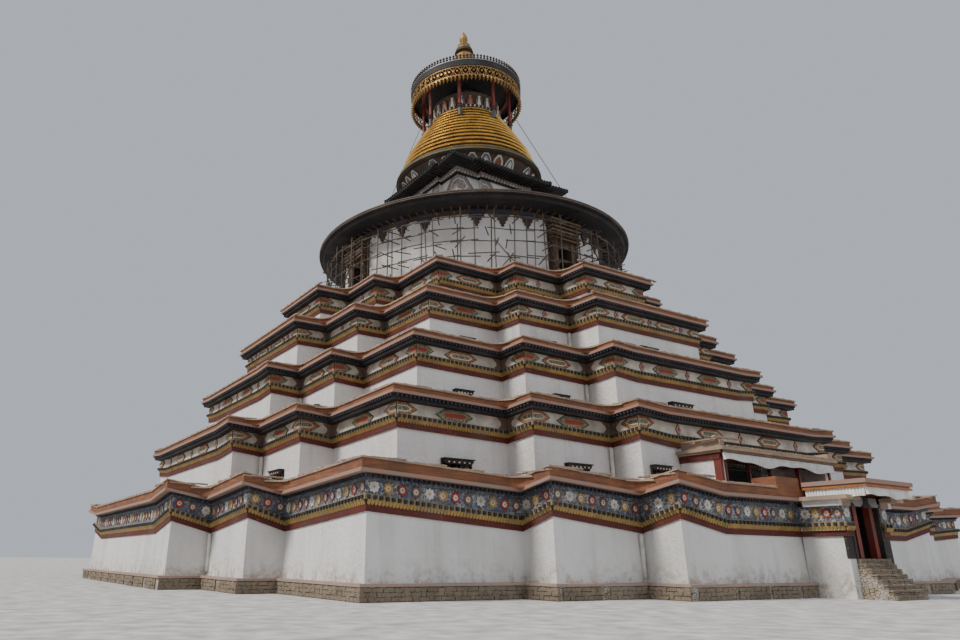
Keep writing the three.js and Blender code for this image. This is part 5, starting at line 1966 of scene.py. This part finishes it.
def add_portals():
    pieces = portal_frame()
    pattern = unit_rod("portal", 0.055, 5)
    coils = []
    side, shelf = SIDE_SCROLLS, SHELF_SCROLLS
    for hand in (-1, 1):
        for number in range(side["count"]):
            odd = number % 2
            x, z = hand * (side["x"] - 0.1 * odd), side["foot"] + number * side["pitch"]
            coils += scroll(pattern, x, z, side["size"], 1 + odd)
    for x in shelf["x"]:
        for z in shelf["z"]:
            coils += scroll(pattern, x, z, shelf["size"], 1)
    apply_places(*coils)
    bpy.data.objects.remove(pattern)
    for piece in pieces + coils:
        coat(piece, PORTAL_FINISHES[piece["finish"]])
    print("rods in the scrolls of a portal:", len(coils))
    return turned_copies(join_all(pieces + coils, "portal"), "drum_portals", PORTAL["count"])


keep(add_portals(), None, "door_surround")

# %% [markdown]
# The drum stood in a scaffold of thin poles when it was seen: two rings of uprights, ledgers in five
# rows that lap past one another, a few braces and short ties. The poles are seeded random, a little
# out of true, and that is what tells lashed poles from a welded frame. They replace the plain frame.

# %% Scaffold of lashed poles
random.seed(7)
SCAFFOLD = {"bays": 60, "outer": 12.1, "inner": 11.35, "levels": (0.9, 1.9, 2.9, 3.85, 4.75)}
POLE_RADIUS = 0.042
UPRIGHT = {"height": 5.0, "limit": 24.75}
TIE = {"inner": 11.1, "outer": 12.4}
BRACE = {"share": 0.4, "feet": (0.4, 1.4, 2.4), "rise": 1.6}
MISSING_LEDGERS = 0.1
LAP = 1.8


def ring_place(radius, degrees, z):
    angle = math.radians(degrees)
    return place(radius * math.cos(angle), radius * math.sin(angle), z)


def loose(amount):
    return random.uniform(-amount, amount)


def uprights(pattern, bay, step, floor):
    poles = []
    for radius in (SCAFFOLD["outer"], SCAFFOLD["inner"]):
        if radius == SCAFFOLD["inner"] and bay % 2:
            continue
        angle = bay * step + loose(1.2)
        lean = loose(0.9)
        top = min(floor + UPRIGHT["height"] + loose(0.55), UPRIGHT["limit"])
        poles.append(laid(pattern, ring_place(radius, angle, floor), ring_place(radius, angle + lean, top)))
    return poles


def ledgers(pattern, bay, step, floor):
    poles = []
    for level in SCAFFOLD["levels"]:
        if random.random() < MISSING_LEDGERS:
            continue
        height = floor + level + loose(0.12)
        radius = SCAFFOLD["outer"]
        start = ring_place(radius + loose(0.05), bay * step - LAP + loose(1), height)
        end = ring_place(radius + loose(0.05), (bay + 1) * step + LAP + loose(1), height + loose(0.12))
        poles.append(laid(pattern, start, end))
    return poles


def ties(pattern, bay, step, floor):
    poles = []
    for level in SCAFFOLD["levels"]:
        height = floor + level + loose(0.1)
        start = ring_place(TIE["inner"], bay * step + loose(2), height)
        end = ring_place(TIE["outer"] + loose(0.25), bay * step + loose(3), height + loose(0.3))
        poles.append(laid(pattern, start, end))
    return poles


def brace(pattern, bay, step, floor):
    low = floor + random.choice(BRACE["feet"])
    radius = SCAFFOLD["outer"] + 0.08
    start = ring_place(radius, bay * step, low)
    end = ring_place(radius, (bay + random.choice((-1, 1))) * step, low + BRACE["rise"])
    return laid(pattern, start, end)


def add_scaffold():
    pattern = unit_rod("pole", POLE_RADIUS, 6)
    poles = []
    where = (360 / SCAFFOLD["bays"], DRUM["floor"] + 0.015)
    for bay in range(SCAFFOLD["bays"]):
        poles += uprights(pattern, bay, *where) + ledgers(pattern, bay, *where)
        if bay % 3:
            poles += ties(pattern, bay, *where)
        if random.random() < BRACE["share"]:
            poles.append(brace(pattern, bay, *where))
    bpy.data.objects.remove(pattern)
    print("poles:", len(poles))
    return join_placed(poles, "lashed_poles")


keep(add_scaffold(), POLE, "scaffold_pole", "drum_scaffold")

# %% [markdown]
# The square block under the spire repeats the storeys in small: a flowered band, white teeth under it,
# dark rafters and a jagged eave. The same row and moulding functions serve, with the block's own plan.
# A flowered corner is painted on its white wall, and a corner motif is a plate cut at its middle.

# %% Square block under the spire
BLOCK = {"reach": (4.75, 4.45), "half": (2.3,), "lift": 0.0}
BLOCK_EAVE = {**BLOCK, "lift": 0.12}
# Offset from the wall, height and pitch of each row
BLOCK_TEETH = (0.24, 30.53, 0.32)
BLOCK_RAFTERS = (0.3, 30.80, 0.3)
BLOCK_NOSES = (1.50, 31.02, 0.30)
CORNER_FLOWER = {"length": 1.5, "height": 1.05, "thickness": 0.03, "middle": 29.5, "least_wall": 2.0}

keep(moulding("harmika_band", BLOCK, 0.26, 0.34, 30.62, 30.88), FLORAL_BAND, "painted_cornice")
tooth = small_block("tooth", 0.16, 0.12, 0.14, (0.6, 0.5))
keep(wall_rows(tooth, "harmika_teeth", BLOCK, *BLOCK_TEETH), PAINT_WHITE, "painted_cornice")
keep(moulding("harmika_shade", BLOCK, 0.08, 0.22, 30.36, 30.48), RAFTER_BLACK, "dark_timber")
rafter = small_block("block_rafter", 0.12, 1.24, 0.13, (0.8, 0.6))
keep(wall_rows(rafter, "harmika_rafters", BLOCK_EAVE, *BLOCK_RAFTERS), DARK_TIMBER, "dark_timber")
nose = small_block("eave_nose", 0.15, 0.16, 0.17, (0.7, 0.5))
keep(wall_rows(nose, "harmika_eave_noses", BLOCK_EAVE, *BLOCK_NOSES), RAFTER_BLACK, "dark_timber")


def corner_flower():
    piece = plate("corner_flower", 6, CORNER_FLOWER["length"], CORNER_FLOWER["height"],
                  CORNER_FLOWER["thickness"], ((0.08, 0.006), (0.30, 0.006), (0.10, 0.012)))
    settle(0.00005)
    return paint_by_border(piece, UMBER, FLORAL_BAND, PAINT_WHITE, FLORAL_BAND)


def add_corner_flowers():
    whole = corner_flower()
    halves = {side: half_of(whole, "corner_flower", side) for side in (True, False)}
    hung = []
    for points, juts_first, juts_last in wall_faces(BLOCK, 0.02, CORNER_FLOWER["middle"]):
        length = math.hypot(points[-1].x - points[0].x, points[-1].y - points[0].y)
        if length < m(CORNER_FLOWER["least_wall"]):
            continue
        if juts_first:
            hung.append(hang(halves[True], "corner_flower", points, 0.0))
        if juts_last:
            hung.append(hang(halves[False], "corner_flower", points, length))
    side = join_placed(hung, "corner_flowers")
    for piece in (whole, *halves.values()):
        bpy.data.objects.remove(piece)
    return round_the_building(side, "harmika_corner_flowers")


keep(add_corner_flowers(), None, "painted_cornice")
print("square block dressed, pieces so far:", len(PIECES))

# %% [markdown]
# Under the gilded rings a flared base carries a row of painted arches, in four colours, with bare gaps
# between the groups. One arch is a ten-sided plate, inset for its borders and cut in half, then leant to
# the slope of the base. Four colour versions are turned round the axis in steps.

# %% Painted arches of the spire
LOTUS = {"low": (5.2, 31.6), "high": (5.85, 32.5), "radius": 5.22}
LOTUS_RIM = (6.1, 6.34, 32.62, 32.74)
ARCHES_EACH = 8
ARCH_INSETS = ((0.06, 0.01), (0.09, 0.01), (0.09, 0.02))
# Rim, outer border, inner border and middle of each colour version, and the places it leaves bare
LOTUS_ARCHES = (
    ((PAINT_TAN, PAINT_WHITE, PAINT_BLUE, PAINT_WHITE), ()),
    ((PAINT_WHITE, PAINT_TAN, UMBER, PAINT_TAN), (0, 2, 4, 6)),
    ((PAINT_WHITE, PAINT_BLUE, PAINT_TAN, PAINT_WHITE), ()),
    ((PAINT_TAN, PAINT_WHITE, LEAF_GREEN, JEWEL_RED), ()),
)


def arch_shape(name, width, height, *finishes):
    piece = plate(name, 10, width / 2, height, 0.05, ARCH_INSETS)
    bpy.ops.mesh.select_all(action="SELECT")
    bpy.ops.mesh.bisect(plane_co=(0, 0, m(0.02)), plane_no=(0, 0, 1), clear_inner=True, use_fill=True)
    settle(0.00005)
    return paint_by_border(piece, *finishes)


def arches_round(name, radius, height, lean, versions, width, tall):
    """Arches in the given colours, one after another round the axis."""
    step = 360 / (ARCHES_EACH * len(versions))
    parts = []
    for number, (finishes, bare) in enumerate(versions):
        arch = arch_shape("arch", width, tall, *finishes)
        arch.rotation_euler = (math.radians(lean), 0, math.radians(90))
        arch.location = place(radius, 0, height)
        apply_places(arch)
        parts.append(turned_copies(arch, name, ARCHES_EACH, first=number * step, skip=bare))
    return join_all(parts, name)


(low_radius, low), (high_radius, high) = LOTUS["low"], LOTUS["high"]
lean = math.degrees(math.atan2(high_radius - low_radius, high - low))
arches = arches_round("lotus_arches", LOTUS["radius"], low, lean, LOTUS_ARCHES, 1.08, 1.16)
keep(arches, None, "painted_cornice")
keep(ring("lotus_rim", *LOTUS_RIM), LEAF_GREEN, "painted_cornice")
print("arches of the base:", sum(ARCHES_EACH - len(bare) for _, bare in LOTUS_ARCHES))

# %% [markdown]
# The thirteen rings are rounded bands of beaten metal with a dark gap above each. The section of a band
# is a small oval, and it is spun round the axis at the radius that the cone has at that height. A dark
# core stands behind the gaps. The bands replace the plain cone of the frame.

# %% Thirteen rings
RING_PROFILE = ((32.9, 6.05), (34.3, 5.65), (34.9, 5.4), (36.5, 4.5), (37.8, 3.7), (38.67, 3.2))
RING_COUNT = 13
RING_BAND = {"inset": 0.13, "thick": 0.19, "tall": 0.2, "middle": 0.42}
CORE_INSET = 0.42


def profile_radius(height):
    for (low, wide), (high, narrow) in zip(RING_PROFILE, RING_PROFILE[1:]):
        if height <= high + 1e-6:
            return wide + (narrow - wide) * (height - low) / (high - low)
    return RING_PROFILE[-1][1]


def spun_band(name, radius, height, thick, tall, segments=72):
    """An oval section spun round the axis."""
    deselect()
    bpy.ops.mesh.primitive_circle_add(vertices=8, radius=1, rotation=(math.pi / 2, 0, 0))
    piece = named(name)
    bpy.ops.object.transform_apply()
    piece.scale = (m(thick), 1, m(tall))
    piece.location = place(radius, 0, height)
    bpy.ops.object.transform_apply()
    bpy.ops.object.mode_set(mode="EDIT")
    bpy.ops.mesh.select_all(action="SELECT")
    bpy.ops.mesh.spin(steps=segments, angle=2 * math.pi, center=(0, 0, 0), axis=(0, 0, 1))
    settle()
    select_only(piece)
    bpy.ops.object.shade_smooth_by_angle(angle=math.radians(50))
    return piece


def ring_core():
    """The dark cone behind the gaps of the rings."""
    deselect()
    low, wide = RING_PROFILE[0]
    bpy.ops.mesh.primitive_circle_add(vertices=48, radius=m(wide - CORE_INSET), fill_type="NGON",
                                      location=place(0, 0, low))
    piece = named("ring_core")
    bpy.ops.object.transform_apply()
    bpy.ops.object.mode_set(mode="EDIT")
    bpy.ops.mesh.select_all(action="SELECT")
    for high, narrow in RING_PROFILE[1:]:
        extrude(0, 0, m(high - low))
        share = (narrow - CORE_INSET) / (wide - CORE_INSET)
        bpy.ops.transform.resize(value=(share, share, 1), center_override=(0, 0, 0))
        low, wide = high, narrow
    settle()
    return piece


pitch = (RING_PROFILE[-1][0] - RING_PROFILE[0][0]) / RING_COUNT
bands = []
for number in range(RING_COUNT):
    height = RING_PROFILE[0][0] + pitch * (number + RING_BAND["middle"])
    bands.append(spun_band("band", profile_radius(height) - RING_BAND["inset"], height, RING_BAND["thick"],
                           pitch * RING_BAND["tall"]))
keep(join_all(bands, "gilded_rings"), GILDING, "gilding", "thirteen_rings")
keep(ring_core(), RAFTER_BLACK, "dark_timber")
print("rings:", RING_COUNT)

# %% [markdown]
# Above the rings stands a painted drum with arches and a row of white beads, ringed by eight red posts.
# The posts have grey metal shoes that taper upwards. They carry the parasol, and without the shoes they
# would seem to grow out of the metal.

# %% Painted drum and shoes of the posts
PANEL_ARCHES = (
    ((PAINT_TAN, PAINT_BLUE, PAINT_WHITE), ()), ((UMBER, JEWEL_RED, PAINT_TAN), ()),
    ((PAINT_TAN, UMBER, PAINT_WHITE), ()),
)
PANEL = {"radius": 3.01, "foot": 38.98, "beads": 54}
POSTS = {"count": 8, "circle": 3.9}


def upright_rod(name, radius, low, high, thickness, sides=6, beads=()):
    """An upright rod at the given distance from the axis of the building."""
    return rod(name, place(radius, 0, low), place(radius, 0, high), thickness, sides, beads)


arches = arches_round("panel_arches", PANEL["radius"], PANEL["foot"], 0, PANEL_ARCHES, 0.62, 1.0)
keep(arches, None, "painted_cornice")
bead = upright_rod("bead", 3.16, 38.7, 38.92, 0.06, beads=(0.5,))
keep(turned_copies(bead, "panel_beads", PANEL["beads"]), PAINT_WHITE, "painted_cornice")
shoe = upright_rod("shoe", POSTS["circle"], 37.2, 38.35, 0.17, 8, beads=(0.1, 0.9))
keep(turned_copies(shoe, "post_shoes", POSTS["count"]), SHOE_METAL, "dark_timber")
sleeve = upright_rod("sleeve", POSTS["circle"], 38.3, 41.8, 0.15, 10, beads=(0.05, 0.95))
keep(turned_copies(sleeve, "post_sleeves", POSTS["count"]), RED_TIMBER, "red_timber")
print("posts:", POSTS["count"], "beads:", PANEL["beads"])

# %% [markdown]
# The parasol has a dark rim with spikes standing on it. From the rim hangs a pierced metal skirt: crossed
# bars, studs where they cross and leaf drops along the foot. The sky shows through it, so it is modelled
# bar by bar instead of painted on a band.

# %% Parasol
SKIRT = {"radius": 4.9, "top": 41.55, "foot": 40.66, "drop": 40.14, "units": 44}
SKIRT_BANDS = ((4.87, 4.95, 40.61, 40.71), (4.87, 4.95, 41.50, 41.63))
FASCIA = ((4.86, 5.0, 41.62, 42.16), (1.4, 4.84, 41.74, 41.84))
PARASOL_RIM = (4.86, 5.02, 42.16, 42.22)
SPIKES = {"circle": 4.92, "count": 104}
FINIAL_DISC = ((0.4, 0.8, 46.74, 47.0), (0.5, 0.87, 46.68, 46.75))


def skirt_unit():
    half = math.pi * SKIRT["radius"] / SKIRT["units"]
    x, top, foot = SKIRT["radius"], SKIRT["top"], SKIRT["foot"]
    middle = (top + foot) / 2
    bars = [
        rod("skirt", place(x, -half, foot), place(x, half, top), 0.045, 5),
        rod("skirt", place(x, half, foot), place(x, -half, top), 0.045, 5),
        rod("skirt", place(x, 0, foot), place(x, 0, top), 0.035, 5),
        rod("skirt", place(x - 0.05, 0, middle), place(x + 0.07, 0, middle), 0.11, 8),
        rod("skirt", place(x - 0.04, half, middle), place(x + 0.06, half, middle), 0.09, 8),
    ]
    for y in (-half / 2, half / 2):
        start, end = place(x, y, foot + 0.03), place(x, y, SKIRT["drop"])
        bars.append(rod("skirt", start, end, 0.095, beads=(0.55,)))
    return join_all(bars, "skirt_unit")


def narrow_ends(piece, reach):
    """Draws the foot of the drops to a point."""
    edit(piece)
    pick(piece, lambda co: co.z < m(reach))
    bpy.ops.mesh.remove_doubles(threshold=m(0.2))
    bpy.ops.object.mode_set(mode="OBJECT")
    return piece


unit = narrow_ends(skirt_unit(), SKIRT["drop"] + 0.02)
skirt = [turned_copies(unit, "skirt", SKIRT["units"]), rings("skirt_bands", SKIRT_BANDS)]
keep(join_all(skirt, "parasol_skirt"), OLD_GILDING, "gilding", "parasol_valance")
keep(rings("parasol_fascia", FASCIA), RAFTER_BLACK, "dark_timber")
keep(ring("parasol_rim", *PARASOL_RIM), STEEL_GREY, "dark_timber")
spike = upright_rod("spike", SPIKES["circle"], 42.2, 42.72, 0.075, beads=(0.35, 0.8))
keep(turned_copies(spike, "parasol_spikes", SPIKES["count"]), UMBER, "dark_timber")
keep(rings("finial_disc", FINIAL_DISC, 32), UMBER, "dark_timber")
print("parasol done, pieces so far:", len(PIECES))

# %% [markdown]
# The solids of the frame that stay in sight get their finishes here. Their shapes are the builder's
# own and are not touched. Each name is matched by how it starts, because fifty nodes share a dozen
# finishes.

# %% Finishes on the frame's own solids
NODE_FINISHES = [
    ("plinth", RUBBLE), ("gate_steps", RUBBLE), ("gate_frame", RED_TIMBER), ("gate_roof", SLAB),
    ("gate_block", CLAY), ("gate_valance", COTTON), ("gate_", LIME), ("porch_frame", RED_TIMBER),
    ("porch_roof", COPING), ("porch_valance", COTTON), ("porch_", LIME), ("drum_wall", LIME),
    ("drum_door", UMBER), ("drum_roof", RAFTER_BLACK), ("drum_scaffold", POLE),
    ("harmika_block", LIME), ("harmika_cornice", FLORAL_BAND), ("harmika_roof", RAFTER_BLACK),
    ("lotus_base", UMBER), ("thirteen_rings", GILDING), ("panel_drum", UMBER), ("parasol_posts", RED_TIMBER),
    ("parasol_roof", OLD_GILDING), ("parasol_valance", OLD_GILDING), ("finial", OLD_GILDING), ("stay", CABLE),
]
TIER_FINISHES = {"wall": LIME, "cornice": MAROON, "roof_slab": SLAB, "parapet": CLAY}


def finish_for(node):
    if node.startswith("tier_"):
        return TIER_FINISHES[node.split("_", 2)[2]]
    return next(finish for start, finish in NODE_FINISHES if node.startswith(start))


for node, solid in frame["nodes"].items():
    solid.data.materials.clear()
    solid.data.materials.append(finish_for(node))
print("finished nodes:", len(frame["nodes"]))

# %% [markdown]
# At the end each piece is tied to the one body of the building, and the frame's solids that it stands
# for are hidden. The triangles that the pieces add are counted, and the largest pieces are printed.

# %% Riding, hidden solids and triangle counts
for piece, slot, nodes in PIECES.values():
    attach(piece, "root")
    if nodes:
        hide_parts(*nodes)

triangles = {}
for piece, _, _ in PIECES.values():
    piece.data.calc_loop_triangles()
    triangles[piece.name] = len(piece.data.loop_triangles)
largest = sorted(triangles.items(), key=lambda item: -item[1])[:6]
print("pieces:", len(PIECES), "triangles added:", sum(triangles.values()), "largest:", largest)
